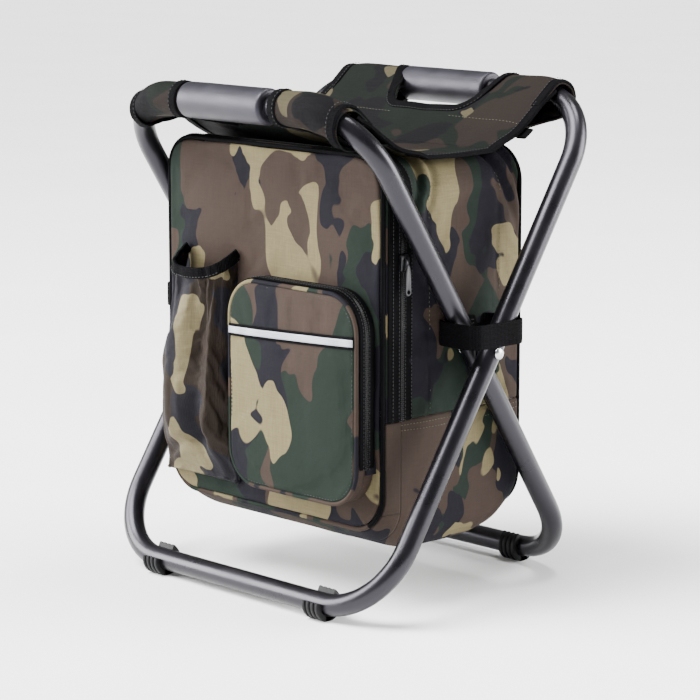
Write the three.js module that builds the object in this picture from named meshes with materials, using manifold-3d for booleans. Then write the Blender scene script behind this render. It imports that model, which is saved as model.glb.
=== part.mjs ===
// Folding cooler stool: two crossing tubular frames, a cloth seat sling and an insulated bag between them.
// Millimetres, +Z up. X runs along the bars, the bag's front faces -Y and the feet stand on z = 0.

import * as THREE from "three";
import { mergeVertices } from "three/addons/utils/BufferGeometryUtils.js";
import Module from "manifold-3d";

const wasm = await Module();
wasm.setup();

// Driving dimensions

const clearance = 0.3;
const overrun = 10;
const mergeStep = 0.0001;

const tube = { radius: 9, bend: 61, sides: 14, bendSteps: 7 };

const legs = {
  tiltDegrees: 32.67,
  halfLength: 233,
  innerHalfWidth: 142.5,
  betweenFrames: 2.5,
};

const foot = {
  wall: 3.3,
  standOff: 4,
  padWidth: 9,
  length: 18.4,
  ribCount: 4,
  ribWidth: 3.4,
  ribRise: 1,
  frontDegrees: 166,
  rearDegrees: 422,
  frontFromLeg: 64,
  rearFromLeg: 63.5,
  arcSteps: 8,
};

const rivet = { shankRadius: 3, headRadius: 4.9, headRise: 2.6, tailRise: 1.3, domeSteps: 3, sides: 12 };
const washer = { radius: 8, sides: 14 };

const grip = {
  radius: 14.8,
  length: 100,
  endRound: 2.4,
  roundSteps: 2,
  sides: 20,
  frontOffset: -7.5,
  rearOffset: -4,
};

const cloth = { thickness: 1.6 };

// A sleeve is a loose cloth tube on a top bar. Offsets are measured inward and along the leg from the bar.
const sleeve = {
  mouthHalf: 14.6,
  endHalf: 18.2,
  mouthIn: 0.9,
  mouthDown: 2.7,
  endIn: -0.6,
  besideHole: 1,
  endInset: 3,
  frontRightInset: 7,
  stations: 6,
  sides: 16,
};

const seat = {
  edgeInset: 1,
  halfDepth: 38,
  belowBars: 40.1,
  thickness: 2,
  sag: 1.2,
  sagSteps: 6,
  // The slopes of the sling, from the seat's edge to the axis of the top bar
  slopeRun_shares: [0, 0.273, 0.49, 0.684, 0.866],
  slopeRise_shares: [0, 0.161, 0.332, 0.568, 0.908],
};

// Hand holes in the slopes. Left and right are distances from the middle plane at the bar, and each side slants
// in towards the hole's far edge.
const handHole = {
  depth: 23,
  round: 11,
  hemSteps: 4,
  frontLeft: 57.5,
  frontRight: 53,
  frontLeftSlant: 8,
  frontRightSlant: 14,
  rearLeft: 55.5,
  rearRight: 60,
  rearLeftSlant: 6,
  rearRightSlant: 18,
};

// The bag is a soft box: it dips under the seat, its corners are round and its bottom sags.
const bag = {
  besideLegs: 3.5,
  front: -84.2,
  rear: 73,
  aboveSeat: 5.8,
  seatDip: 8.2,
  frontBottom: 65,
  bottomSag: 22,
  topRound: 30,
  bottomRound: 34,
  roundSteps: 4,
  wall: 3,
  stations: 8,
  seamHeight: 158,
};

const backPanel = { thickness: 4, crown: 3, crownInset: 16 };
const piping = { radius: 2, sides: 6, inset: 2 };
const liner = { wall: 2.5 };
const frontPanel = { thickness: 4, crown: 1.5, crownInset: 14 };
const flap = { gussetFrom: 82, linerEdge: 4, linerThickness: 2 };

const zip = {
  behindFront: 16.2,
  tape: 12,
  thickness: 1.2,
  sliderLength: 13,
  sliderWidth: 9,
  sliderRise: 3.4,
  sliderRound: 2.4,
  sliderAbovePivot: 75.9,
  bridgeRise: 2,
  bridgeWidth: 3,
  pullLength: 25,
  pullWidth: 6,
  pullThickness: 1.4,
  pullHole: 1.8,
  sliderTop_share: 0.8,
  holeInset_share: 1.6,
  roundSteps: 3,
  holeSides: 10,
};

const pocket = {
  left: -30,
  besideRight: 9,
  bottom: 89,
  top: 261,
  round: 32,
  roundSteps: 5,
  wall: 1.8,
  baseDepth: 9,
  faceDepth: 7.4,
  faceThickness: 2,
  crown: 5,
  crownInset: 14,
  stripHeight: 6,
  stripDrop: 40,
  stripThickness: 0.8,
  zipEnd: 122,
  tape: 5,
  sliderHeight: 214,
  sliderLength: 9,
  sliderWidth: 6,
  sliderRise: 2,
  pullLength: 18,
  pullWidth: 4,
  pullThickness: 1,
  pullHole: 0.8,
};

const bottlePocket = {
  besideLeft: 1,
  besidePocket: 8,
  bottom: 82,
  backTop: 283,
  mouthDip: 17,
  mouthGather: 26,
  depth: 35,
  wall: 1.8,
  bandHeight: 11,
  bandThickness: 3,
  sides: 14,
  fullness: 2.6,
  levels: 6,
  bottomDepth_share: 0.3,
  topDepth_share: 0.7,
  fillHeight: 55,
};

const legStrap = {
  thickness: 2,
  height: 20,
  abovePivot: 5.5,
  halfDepth: 30,
  looseFront: 56,
  round: 9,
  roundSteps: 4,
  besideTube: 1.2,
  footLength: 14,
};

const shoulder = {
  centre: 62,
  belowTop: 33,
  bottomHeight: 112,
  padBottom: 168,
  padWidth: 52,
  padThickness: 9,
  bow: 12,
  webWidth: 25,
  webThickness: 1.8,
  stepHeight: 16,
  anchorHeight: 26,
  buckleHeight: 20,
  buckleWidth: 33,
  buckleThickness: 5,
  cornerRound: 3,
  cornerSteps: 2,
};

// Places that follow from the sizes above

const tilt = THREE.MathUtils.degToRad(legs.tiltDegrees);
const barReach = legs.halfLength * Math.sin(tilt);
const footBarHeight = tube.radius + foot.standOff;
const pivotHeight = footBarHeight + legs.halfLength * Math.cos(tilt);
const outerHalfWidth = legs.innerHalfWidth + 2 * tube.radius + legs.betweenFrames;
const barHeight = pivotHeight + legs.halfLength * Math.cos(tilt);
const seatTop = barHeight - seat.belowBars;
const bagHalfWidth = legs.innerHalfWidth - tube.radius - bag.besideLegs;
const bagHalfDepth = (bag.rear - bag.front) / 2;
const bagMiddle = (bag.rear + bag.front) / 2;
const bagHighest = seatTop + bag.aboveSeat;
const zipDepth = bag.front + zip.behindFront;
const seatHalfWidth = bagHalfWidth - seat.edgeInset;
const pocketRight = bagHalfWidth - pocket.besideRight;
const bottleLeft = bottlePocket.besideLeft - bagHalfWidth;
const bottleRight = pocket.left - bottlePocket.besidePocket;
const strapTop = bagHighest - shoulder.belowTop;

const handHoles = {
  front: {
    side: -1, from: -handHole.frontLeft, to: handHole.frontRight, slants: [handHole.frontLeftSlant, handHole.frontRightSlant],
  },
  rear: {
    side: 1, from: -handHole.rearLeft, to: handHole.rearRight, slants: [handHole.rearLeftSlant, handHole.rearRightSlant],
  },
};
const sleeveSpan = (name, frame, side, hole, endInset) => ({
  name,
  frame,
  from: side * (hole + sleeve.besideHole),
  to: side * (seatHalfWidth - endInset),
});
const sleeveSpans = [
  sleeveSpan("sleeve_front_left", "inner", -1, handHole.frontLeft, sleeve.endInset),
  sleeveSpan("sleeve_front_right", "inner", 1, handHole.frontRight, sleeve.frontRightInset),
  sleeveSpan("sleeve_rear_left", "outer", -1, handHole.rearLeft, sleeve.endInset),
  sleeveSpan("sleeve_rear_right", "outer", 1, handHole.rearRight, sleeve.endInset),
];

// Materials

const paint = (color, roughness, metalness) => new THREE.MeshStandardMaterial({ color, roughness, metalness });
const finish = {
  tube: paint(0x3b3a3f, 0.42, 0.6),
  rubber: paint(0x1b1b1d, 0.7, 0),
  rivet: paint(0xb9babd, 0.3, 0.9),
  washer: paint(0x202022, 0.6, 0),
  foam: paint(0x4b4a4f, 0.75, 0),
  camouflage: paint(0x6f6257, 0.85, 0),
  webbing: paint(0x17171a, 0.85, 0),
  zip: paint(0x101012, 0.6, 0),
  liner: paint(0xb9bcc0, 0.4, 0.1),
  reflective: paint(0xc9ccd2, 0.35, 0.2),
};

// Shared solids

const part = new THREE.Group();

function toSolid(geometry) {
  const bare = geometry.clone();
  bare.deleteAttribute("normal");
  bare.deleteAttribute("uv");
  const merged = mergeVertices(bare, mergeStep);
  const vertProperties = new Float32Array(merged.attributes.position.array);
  const triVerts = new Uint32Array(merged.index.array);
  return new wasm.Manifold(new wasm.Mesh({ numProp: 3, vertProperties, triVerts }));
}

function toGeometry(solid) {
  const mesh = solid.getMesh();
  const geometry = new THREE.BufferGeometry();
  geometry.setAttribute("position", new THREE.BufferAttribute(mesh.vertProperties, 3));
  geometry.setIndex(new THREE.BufferAttribute(mesh.triVerts, 1));
  geometry.computeVertexNormals();
  return geometry;
}

function cut(geometry, ...tools) {
  return toGeometry(tools.reduce((solid, tool) => solid.subtract(toSolid(tool)), toSolid(geometry)));
}

function join(geometry, ...others) {
  return toGeometry(others.reduce((solid, other) => solid.add(toSolid(other)), toSolid(geometry)));
}

function keep(geometry, region) {
  return toGeometry(toSolid(geometry).intersect(toSolid(region)));
}

function box(x0, x1, y0, y1, z0, z1) {
  const block = new THREE.BoxGeometry(x1 - x0, y1 - y0, z1 - z0);
  return block.translate((x0 + x1) / 2, (y0 + y1) / 2, (z0 + z1) / 2);
}

// Skin over a row of outlines with equal point counts. place turns (u, v, station) into a point in space.
function loft(stations, place, closed = false) {
  const count = stations[0].outline.length;
  const positions = [];
  const faces = [];
  for (const station of stations) {
    for (const point of station.outline) positions.push(...place(point.x, point.y, station.at).toArray());
  }
  const rings = stations.length;
  const spans = closed ? rings : rings - 1;
  for (let ring = 0; ring < spans; ring++) {
    const here = ring * count;
    const there = ((ring + 1) % rings) * count;
    for (let i = 0; i < count; i++) {
      const next = (i + 1) % count;
      faces.push(here + i, here + next, there + next, here + i, there + next, there + i);
    }
  }
  if (!closed) {
    const turned = THREE.ShapeUtils.isClockWise(stations[0].outline);
    const end = (rings - 1) * count;
    const capOf = (station) => THREE.ShapeUtils.triangulateShape(station.outline, []);
    const outward = ([a, b, c]) => (turned ? [a, c, b] : [a, b, c]);
    for (const [a, b, c] of capOf(stations[0]).map(outward)) faces.push(a, c, b);
    for (const [a, b, c] of capOf(stations[rings - 1]).map(outward)) faces.push(end + a, end + b, end + c);
  }
  const geometry = new THREE.BufferGeometry();
  geometry.setAttribute("position", new THREE.Float32BufferAttribute(positions, 3));
  geometry.setIndex(faces);
  return facingOut(geometry);
}

function facingOut(geometry) {
  const position = geometry.attributes.position;
  const index = geometry.index.array;
  const [a, b, c] = [new THREE.Vector3(), new THREE.Vector3(), new THREE.Vector3()];
  let volume = 0;
  for (let i = 0; i < index.length; i += 3) {
    a.fromBufferAttribute(position, index[i]);
    b.fromBufferAttribute(position, index[i + 1]);
    c.fromBufferAttribute(position, index[i + 2]);
    volume += a.dot(b.cross(c));
  }
  if (volume < 0) {
    for (let i = 0; i < index.length; i += 3) [index[i + 1], index[i + 2]] = [index[i + 2], index[i + 1]];
  }
  geometry.computeVertexNormals();
  return geometry;
}

function arc(centreX, centreY, radius, fromDegrees, toDegrees, steps) {
  return Array.from({ length: steps + 1 }, (_, i) => {
    const angle = THREE.MathUtils.degToRad(fromDegrees + ((toDegrees - fromDegrees) * i) / steps);
    return new THREE.Vector2(centreX + radius * Math.cos(angle), centreY + radius * Math.sin(angle));
  });
}

function roundedOutline(left, right, bottom, top, bottomRound, topRound, steps) {
  return [
    ...arc(right - topRound, top - topRound, topRound, 0, 90, steps),
    ...arc(left + topRound, top - topRound, topRound, 90, 180, steps),
    ...arc(left + bottomRound, bottom + bottomRound, bottomRound, 180, 270, steps),
    ...arc(right - bottomRound, bottom + bottomRound, bottomRound, 270, 360, steps),
  ];
}

function ringOutline(radius, sides) {
  return arc(0, 0, radius, 0, 360, sides).slice(0, sides);
}

// Round bar along a flat closed path of (u, v) points. place turns (u, v, rise) into a point in space.
function loopBar(path, radius, sides, place) {
  const stations = path.map((point, i) => {
    const before = path[(i + path.length - 1) % path.length];
    const after = path[(i + 1) % path.length];
    const inTo = point.clone().sub(before).normalize();
    const onTo = after.clone().sub(point).normalize();
    const along = inTo.clone().add(onTo).normalize();
    const stretch = 1 / Math.max(along.dot(inTo), Math.SQRT1_2);
    return { outline: ringOutline(radius, sides), at: { point, across: new THREE.Vector2(along.y, -along.x), stretch } };
  });
  const put = (u, v, at) => {
    const flat = at.point.clone().addScaledVector(at.across, u * at.stretch);
    return place(flat.x, flat.y, v);
  };
  return loft(stations, put, true);
}

// Flat strip of a given thickness along an open (u, v) path, as an outline that can be extruded.
function stripOutline(path, thickness) {
  const sides = path.map((point, i) => {
    const before = path[Math.max(i - 1, 0)];
    const after = path[Math.min(i + 1, path.length - 1)];
    const along = after.clone().sub(before).normalize();
    return new THREE.Vector2(-along.y, along.x).multiplyScalar(thickness / 2);
  });
  const upper = path.map((point, i) => point.clone().add(sides[i]));
  const lower = path.map((point, i) => point.clone().sub(sides[i])).reverse();
  return [...upper, ...lower];
}

function prism(outline, from, to, place) {
  return loft([{ outline, at: from }, { outline, at: to }], place);
}

const alongX = (u, v, x) => new THREE.Vector3(x, u, v);
const alongY = (u, v, y) => new THREE.Vector3(u, y, v);
const alongZ = (u, v, z) => new THREE.Vector3(u, v, z);

function addPiece(parent, name, geometry, material) {
  const mesh = new THREE.Mesh(geometry, material);
  mesh.name = name;
  parent.add(mesh);
  return mesh;
}

// Frames, each a closed loop of tube that turns about the rivets

function framePath(halfWidth) {
  const reach = legs.halfLength;
  return roundedOutline(-halfWidth, halfWidth, -reach, reach, tube.bend, tube.bend, tube.bendSteps);
}

const inFramePlane = (u, v, rise) => new THREE.Vector3(u, rise, v);

function frameLoop(halfWidth, radius) {
  return loopBar(framePath(halfWidth), radius, tube.sides, inFramePlane);
}

function rivetBore(side, halfWidth) {
  const radius = rivet.shankRadius + clearance;
  const length = 2 * tube.radius + 2 * overrun;
  const bore = new THREE.CylinderGeometry(radius, radius, length, rivet.sides);
  return bore.rotateZ(Math.PI / 2).translate(side * halfWidth, 0, 0);
}

function frameTube(halfWidth) {
  return cut(frameLoop(halfWidth, tube.radius), rivetBore(-1, halfWidth), rivetBore(1, halfWidth));
}

function frameGroup(turn) {
  const group = new THREE.Group();
  group.position.set(0, 0, pivotHeight);
  group.rotation.x = turn;
  part.add(group);
  return group;
}

const frames = {
  inner: { group: frameGroup(tilt), halfWidth: legs.innerHalfWidth, inward: 1, side: -1 },
  outer: { group: frameGroup(-tilt), halfWidth: outerHalfWidth, inward: -1, side: 1 },
};
addPiece(frames.inner.group, "inner_frame_tube", frameTube(legs.innerHalfWidth), finish.tube);
addPiece(frames.outer.group, "outer_frame_tube", frameTube(outerHalfWidth), finish.tube);

// Rivets through both legs, with a spacer washer between the tubes

function rivetGeometry() {
  const outerFace = outerHalfWidth + tube.radius + clearance;
  const innerFace = legs.innerHalfWidth - tube.radius - clearance;
  const dome = (face, rise) =>
    Array.from({ length: rivet.domeSteps + 1 }, (_, i) => {
      const angle = (Math.PI / 2) * (i / rivet.domeSteps);
      return new THREE.Vector2(
        rivet.headRadius * Math.cos(angle) * (i < rivet.domeSteps ? 1 : 0),
        face + rise * Math.sin(angle),
      );
    });
  const profile = [
    ...dome(innerFace, -rivet.tailRise).reverse(),
    new THREE.Vector2(rivet.shankRadius, innerFace),
    new THREE.Vector2(rivet.shankRadius, outerFace),
    ...dome(outerFace, rivet.headRise),
  ];
  return new THREE.LatheGeometry(profile, rivet.sides).rotateZ(-Math.PI / 2);
}

function washerGeometry() {
  const bore = rivet.shankRadius + clearance;
  const from = legs.innerHalfWidth + tube.radius + clearance;
  const to = outerHalfWidth - tube.radius - clearance;
  const profile = [
    new THREE.Vector2(bore, from),
    new THREE.Vector2(washer.radius, from),
    new THREE.Vector2(washer.radius, to),
    new THREE.Vector2(bore, to),
    new THREE.Vector2(bore, from),
  ];
  return new THREE.LatheGeometry(profile, washer.sides).rotateZ(-Math.PI / 2);
}

for (const [side, turn] of [["right", 0], ["left", Math.PI]]) {
  const head = addPiece(frames.outer.group, `pivot_rivet_${side}`, rivetGeometry(), finish.rivet);
  const spacer = addPiece(frames.outer.group, `pivot_washer_${side}`, washerGeometry(), finish.washer);
  head.rotation.z = turn;
  spacer.rotation.z = turn;
}

// Feet: ribbed clips snapped over the bottom bars, each with a flat pad and a finger tab

function footSection(rise) {
  const inner = tube.radius + clearance / 2;
  const outer = tube.radius + clearance + foot.wall + rise;
  const { frontDegrees, rearDegrees, arcSteps } = foot;
  return [
    ...arc(0, 0, outer, frontDegrees, rearDegrees, arcSteps),
    ...arc(0, 0, inner, rearDegrees, frontDegrees, arcSteps),
  ];
}

// The clip is built round a level bar at its own origin. bar is the bent tube that it grips.
function footGeometry(bar) {
  const half = foot.length / 2;
  const floor = -footBarHeight;
  const radius = tube.radius + clearance;
  const ribPitch = (foot.length - foot.ribWidth) / (foot.ribCount - 1);
  const stations = [];
  for (let i = 0; i < foot.ribCount; i++) {
    const start = i * ribPitch - half;
    const end = start + foot.ribWidth;
    if (i > 0) stations.push({ outline: footSection(0), at: start });
    stations.push({ outline: footSection(foot.ribRise), at: start }, { outline: footSection(foot.ribRise), at: end });
    if (i < foot.ribCount - 1) stations.push({ outline: footSection(0), at: end });
  }
  const halfPad = foot.padWidth / 2;
  const pad = box(-half, half, -halfPad, halfPad, floor, -radius - foot.wall / 2);
  const straight = new THREE.CylinderGeometry(radius, radius, foot.length + overrun, tube.sides).rotateZ(Math.PI / 2);
  const ground = box(-foot.length, foot.length, -foot.length, foot.length, floor - overrun, floor);
  return cut(join(loft(stations, alongX), pad), straight, bar, ground);
}

for (const [frameName, place, fromLeg] of [
  ["outer", "front", foot.frontFromLeg],
  ["inner", "rear", foot.rearFromLeg],
]) {
  for (const [side, sign] of [["left", -1], ["right", 1]]) {
    const { group, halfWidth } = frames[frameName];
    const reach = halfWidth - fromLeg;
    const facing = place === "rear" ? Math.PI : 0;
    const bar = frameLoop(halfWidth, tube.radius + clearance)
      .translate(-sign * reach, 0, legs.halfLength)
      .rotateX(group.rotation.x)
      .rotateZ(facing);
    const clip = addPiece(group, `foot_${place}_${side}`, footGeometry(bar), finish.rubber);
    clip.position.set(sign * reach, 0, -legs.halfLength);
    clip.rotation.set(-group.rotation.x, 0, facing);
  }
}

// Foam grips on the top bars

function gripGeometry() {
  const bore = tube.radius + clearance;
  const half = grip.length / 2;
  const shoulderRadius = grip.radius - grip.endRound;
  const profile = [
    new THREE.Vector2(bore, -half),
    ...arc(shoulderRadius, -half + grip.endRound, grip.endRound, -90, 0, grip.roundSteps),
    ...arc(shoulderRadius, half - grip.endRound, grip.endRound, 0, 90, grip.roundSteps),
    new THREE.Vector2(bore, half),
    new THREE.Vector2(bore, -half),
  ];
  return new THREE.LatheGeometry(profile, grip.sides).rotateZ(-Math.PI / 2);
}

for (const [name, frameName, centre] of [
  ["grip_front", "inner", grip.frontOffset],
  ["grip_rear", "outer", grip.rearOffset],
]) {
  addPiece(frames[frameName].group, name, gripGeometry(), finish.foam).position.set(centre, 0, legs.halfLength);
}

// Sleeves: loose cloth tubes that follow the top bars down into their bends

function barDrop(x, halfWidth) {
  const into = Math.max(Math.abs(x) - (halfWidth - tube.bend), 0);
  return tube.bend - Math.sqrt(tube.bend * tube.bend - into * into);
}

function sleeveForm(span, inset, overlap) {
  const { halfWidth, inward } = frames[span.frame];
  const mix = THREE.MathUtils.lerp;
  const direction = Math.sign(span.to - span.from);
  const stations = Array.from({ length: sleeve.stations + 1 }, (_, i) => {
    const share = i / sleeve.stations;
    const x = mix(span.from - direction * overlap, span.to + direction * overlap, share);
    const half = mix(sleeve.mouthHalf, sleeve.endHalf, share) - inset;
    const across = inward * mix(sleeve.mouthIn, sleeve.endIn, share);
    const down = sleeve.mouthDown * (1 - share) + barDrop(x, halfWidth);
    const outline = ringOutline(half, sleeve.sides).map(
      (point) => new THREE.Vector2(point.x + across, point.y + legs.halfLength - down),
    );
    return { outline, at: x };
  });
  return loft(stations, alongX);
}

for (const span of sleeveSpans) {
  const skin = cut(sleeveForm(span, 0, 0), sleeveForm(span, cloth.thickness, clearance));
  addPiece(frames[span.frame].group, span.name, skin, finish.camouflage);
}

// Seat sling: a flat middle on the bag, and a slope up to each top bar with a hand hole

const seatEdge = seatTop - seat.thickness / 2 + seat.sag;

function seatCurve() {
  return Array.from({ length: seat.sagSteps + 1 }, (_, i) => {
    const share = (2 * i) / seat.sagSteps - 1;
    return new THREE.Vector2(share * (seat.halfDepth - clearance), seatEdge - seat.sag * (1 - share * share));
  });
}

function slopeCurve(side) {
  const run = barReach - seat.halfDepth;
  const rise = barHeight - seatEdge;
  return seat.slopeRun_shares.map((share, i) =>
    new THREE.Vector2(side * (seat.halfDepth + share * run), seatEdge + seat.slopeRise_shares[i] * rise));
}

function placedInFrame(geometry, frame) {
  return geometry.rotateX(frame.group.rotation.x).translate(0, 0, pivotHeight);
}

function holeThrough({ side, from, to, slants }) {
  const { round, depth } = handHole;
  const far = side * (barReach - depth);
  const [left, right] = [from + slants[0], to - slants[1]];
  // Places on the hole's slanted sides, at a distance up from its far edge
  const upLeft = (up) => [left - (slants[0] * up) / depth, far + side * up];
  const upRight = (up) => [right + (slants[1] * up) / depth, far + side * up];
  const shape = new THREE.Shape();
  shape.moveTo(...upLeft(depth + overrun));
  shape.lineTo(...upLeft(round));
  shape.quadraticCurveTo(left, far, left + round, far);
  shape.lineTo(right - round, far);
  shape.quadraticCurveTo(right, far, ...upRight(round));
  shape.lineTo(...upRight(depth + overrun));
  shape.closePath();
  const outline = shape.getPoints(handHole.hemSteps);
  const isRepeated = (point, i) => i > 0 && point.distanceTo(outline[i - 1]) < mergeStep;
  const clean = outline.filter((point, i) => !isRepeated(point, i));
  if (clean[0].distanceTo(clean[clean.length - 1]) < mergeStep) clean.pop();
  return prism(clean, seatTop - overrun, pivotHeight + legs.halfLength + overrun, alongZ);
}

// The space round a grip, which the cloth beside a hand hole stays clear of
function gripSpace(frame, centre) {
  const radius = grip.radius + clearance;
  const space = new THREE.CylinderGeometry(radius, radius, grip.length + 2 * clearance, grip.sides);
  return placedInFrame(space.rotateZ(Math.PI / 2).translate(centre, 0, legs.halfLength), frame);
}

function slopeGeometry(frame, hole, gripCentre) {
  const sheet = prism(stripOutline(slopeCurve(frame.side), seat.thickness), -seatHalfWidth, seatHalfWidth, alongX);
  const spans = sleeveSpans.filter((span) => frames[span.frame] === frame);
  const around = spans.map((span) => placedInFrame(sleeveForm(span, -clearance, clearance), frame));
  const bar = placedInFrame(frameLoop(frame.halfWidth, tube.radius + clearance), frame);
  const beyond = frame.side * (barReach - tube.radius);
  const outside = box(
    -2 * seatHalfWidth, 2 * seatHalfWidth,
    Math.min(beyond, 2 * beyond), Math.max(beyond, 2 * beyond), 0, pivotHeight + legs.halfLength,
  );
  return cut(sheet, ...around, bar, gripSpace(frame, gripCentre), holeThrough(hole), outside);
}

addPiece(
  part, "seat_middle",
  prism(stripOutline(seatCurve(), seat.thickness), -seatHalfWidth, seatHalfWidth, alongX), finish.camouflage,
);
const slopeFront = slopeGeometry(frames.inner, handHoles.front, grip.frontOffset);
const slopeRear = slopeGeometry(frames.outer, handHoles.rear, grip.rearOffset);
addPiece(part, "seat_slope_front", slopeFront, finish.camouflage);
addPiece(part, "seat_slope_rear", slopeRear, finish.camouflage);

// Bag body: the space of the bag, drawn in by inset, between two depths

function bagTop(y) {
  const beyond = Math.max(Math.abs(y) - seat.halfDepth, 0) / (Math.abs(bag.front) - seat.halfDepth);
  return bagHighest - bag.seatDip * (1 - Math.min(beyond, 1));
}

function bagBottom(y) {
  const share = Math.min(Math.abs(y - bagMiddle) / bagHalfDepth, 1);
  return bag.frontBottom - bag.bottomSag * (1 - share ** 3);
}

const evenDepths = Array.from({ length: bag.stations + 1 }, (_, i) => bag.front + (2 * bagHalfDepth * i) / bag.stations);
const bagDepths = [...evenDepths, -seat.halfDepth, seat.halfDepth].sort((a, b) => a - b);

// Every piece of the bag follows the same straight steps between bagDepths, so that their faces stay parallel.
function stepped(height, y) {
  const last = bagDepths.length - 1;
  const clamped = THREE.MathUtils.clamp(y, bagDepths[0], bagDepths[last]);
  const next = Math.max(bagDepths.findIndex((depth) => depth >= clamped), 1);
  const [before, after] = [bagDepths[next - 1], bagDepths[next]];
  return THREE.MathUtils.mapLinear(clamped, before, after, height(before), height(after));
}

function bagOutline(y, inset) {
  return roundedOutline(
    -bagHalfWidth + inset, bagHalfWidth - inset, stepped(bagBottom, y) + inset, stepped(bagTop, y) - inset,
    bag.bottomRound - inset, bag.topRound - inset, bag.roundSteps,
  );
}

function bagForm(inset, from, to) {
  const between = [bag.front, ...bagDepths, bag.rear].filter((y) => y > from + mergeStep && y < to - mergeStep);
  const depths = [from, ...new Set(between), to];
  return loft(depths.map((y) => ({ outline: bagOutline(y, inset), at: y })), alongY);
}

function bagBand(outset, thickness, from, to) {
  return cut(bagForm(-outset - thickness, from, to), bagForm(-outset, from - overrun, to + overrun));
}

const wide = 2 * bagHalfWidth;
const above = (z) => box(-wide, wide, -wide, wide, z, 2 * bagHighest);
const below = (z) => box(-wide, wide, -wide, wide, -bagHighest, z);
const backFace = bag.rear - backPanel.thickness;

function bagWall(from, to) {
  return cut(bagForm(0, from, to), bagForm(bag.wall, from - overrun, to + overrun));
}

const hoop = keep(bagWall(zipDepth + clearance / 2, backFace - clearance), above(bag.seamHeight + clearance / 2));
addPiece(part, "bag_hoop", hoop, finish.camouflage);

const rearBase = keep(bagWall(zipDepth + clearance / 2, backFace - clearance), below(bag.seamHeight - clearance / 2));
const frontBase = keep(bagWall(bag.front, zipDepth + clearance), below(flap.gussetFrom - clearance / 2));
addPiece(part, "bag_base", join(rearBase, frontBase), finish.camouflage);

for (const [side, sign] of [["left", -1], ["right", 1]]) {
  const corner = keep(
    bagWall(bag.front, zipDepth - clearance / 2),
    box(Math.min(0, sign * wide), Math.max(0, sign * wide), -wide, wide,
      flap.gussetFrom + clearance / 2, bag.seamHeight - clearance / 2),
  );
  addPiece(part, `lower_gusset_${side}`, corner, finish.camouflage);
}

// A padded panel: flat inside, crowned outside. crownShares give the rise at shares of the crown's inset.
const crownShares = [[0, 0], [0.35, 0.7], [1, 1]];
function paddedPanel(outlineAt, from, panel, direction) {
  const face = from + direction * panel.thickness;
  const crowned = crownShares.map(([inset, rise]) => ({
    outline: outlineAt(inset * panel.crownInset), at: face + direction * rise * panel.crown,
  }));
  return loft([{ outline: outlineAt(0), at: from }, ...crowned], alongY);
}

const panelInset = piping.inset + piping.radius + clearance;
const backOutline = (inset) => bagOutline(backFace, inset + panelInset);
addPiece(
  part, "bag_back_panel",
  paddedPanel(backOutline, backFace, backPanel, 1), finish.camouflage,
);

function linerSpace(inset) {
  return bagForm(bag.wall + clearance + inset, zipDepth + 2 * clearance, backFace - 2 * clearance - inset);
}

function linerGeometry() {
  const hollow = bagForm(
    bag.wall + clearance + liner.wall, zipDepth - overrun, backFace - 2 * clearance - liner.wall,
  );
  return cut(linerSpace(0), hollow);
}

addPiece(part, "cooler_liner", linerGeometry(), finish.liner);

// Front flap: padded panel, gusset and piping, which folds down from the bottom once unzipped

const frontFace = bag.front - clearance;
const panelOutline = (inset) => bagOutline(bag.front, panelInset + inset);
addPiece(
  part, "front_panel",
  paddedPanel(panelOutline, frontFace, frontPanel, -1), finish.camouflage,
);

// Piping round a panel whose inner face lies at depth y
function pipingLoop(y, outward) {
  const centre = y + outward * piping.radius;
  const path = bagOutline(y, piping.inset);
  return loopBar(path, piping.radius, piping.sides, (u, v, rise) => new THREE.Vector3(u, centre + rise, v));
}

addPiece(part, "front_piping", pipingLoop(frontFace, -1), finish.webbing);
addPiece(part, "rear_piping", pipingLoop(backFace, 1), finish.webbing);

const flapHoop = keep(bagWall(bag.front, zipDepth - clearance / 2), above(bag.seamHeight + clearance / 2));
addPiece(part, "flap_hoop", flapHoop, finish.camouflage);

const linerSheet = loft(
  [clearance, clearance + flap.linerThickness].map((depth) => ({
    outline: bagOutline(bag.front, flap.linerEdge), at: bag.front + depth,
  })),
  alongY,
);
addPiece(part, "flap_liner", linerSheet, finish.liner);

// Main zip: two tapes round the hoop, a slider on the right run and its pull

function zipTape(from, to) {
  return keep(bagBand(clearance, zip.thickness, from, to), above(bag.seamHeight + clearance / 2));
}

addPiece(part, "main_zip_tape_flap", zipTape(zipDepth - zip.tape, zipDepth - clearance / 2), finish.zip);
addPiece(part, "main_zip_tape_bag", zipTape(zipDepth + clearance / 2, zipDepth + zip.tape), finish.zip);

function sliderBody(length, width, rise, round) {
  const outline = roundedOutline(
    -width / 2, width / 2, -length / 2, length / 2, round, round, zip.roundSteps,
  );
  const inset = (share) => outline.map((point) => point.clone().multiplyScalar(share));
  const stations = [
    { outline, at: 0 },
    { outline, at: rise / 2 },
    { outline: inset(zip.sliderTop_share), at: rise },
  ];
  return loft(stations, (u, v, x) => new THREE.Vector3(x, u, v));
}

function bridge(length, width, base, rise) {
  const half = length / 4;
  const rail = stripOutline(
    [
      new THREE.Vector2(base - rise / 2, -half),
      new THREE.Vector2(base + rise, -half),
      new THREE.Vector2(base + rise, half),
      new THREE.Vector2(base - rise / 2, half),
    ],
    rise / 2,
  );
  return prism(rail, -width / 2, width / 2, (u, v, y) => new THREE.Vector3(u, y, v));
}

const sliderHeight = pivotHeight + zip.sliderAbovePivot;
const sliderFace = bagHalfWidth + 2 * clearance + zip.thickness;
const slider = join(
  sliderBody(zip.sliderLength, zip.sliderWidth, zip.sliderRise, zip.sliderRound),
  bridge(zip.sliderLength, zip.bridgeWidth, zip.sliderRise - zip.bridgeRise / 2, zip.bridgeRise),
);
addPiece(part, "main_zip_slider", slider, finish.zip).position.set(sliderFace, zipDepth, sliderHeight);

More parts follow.
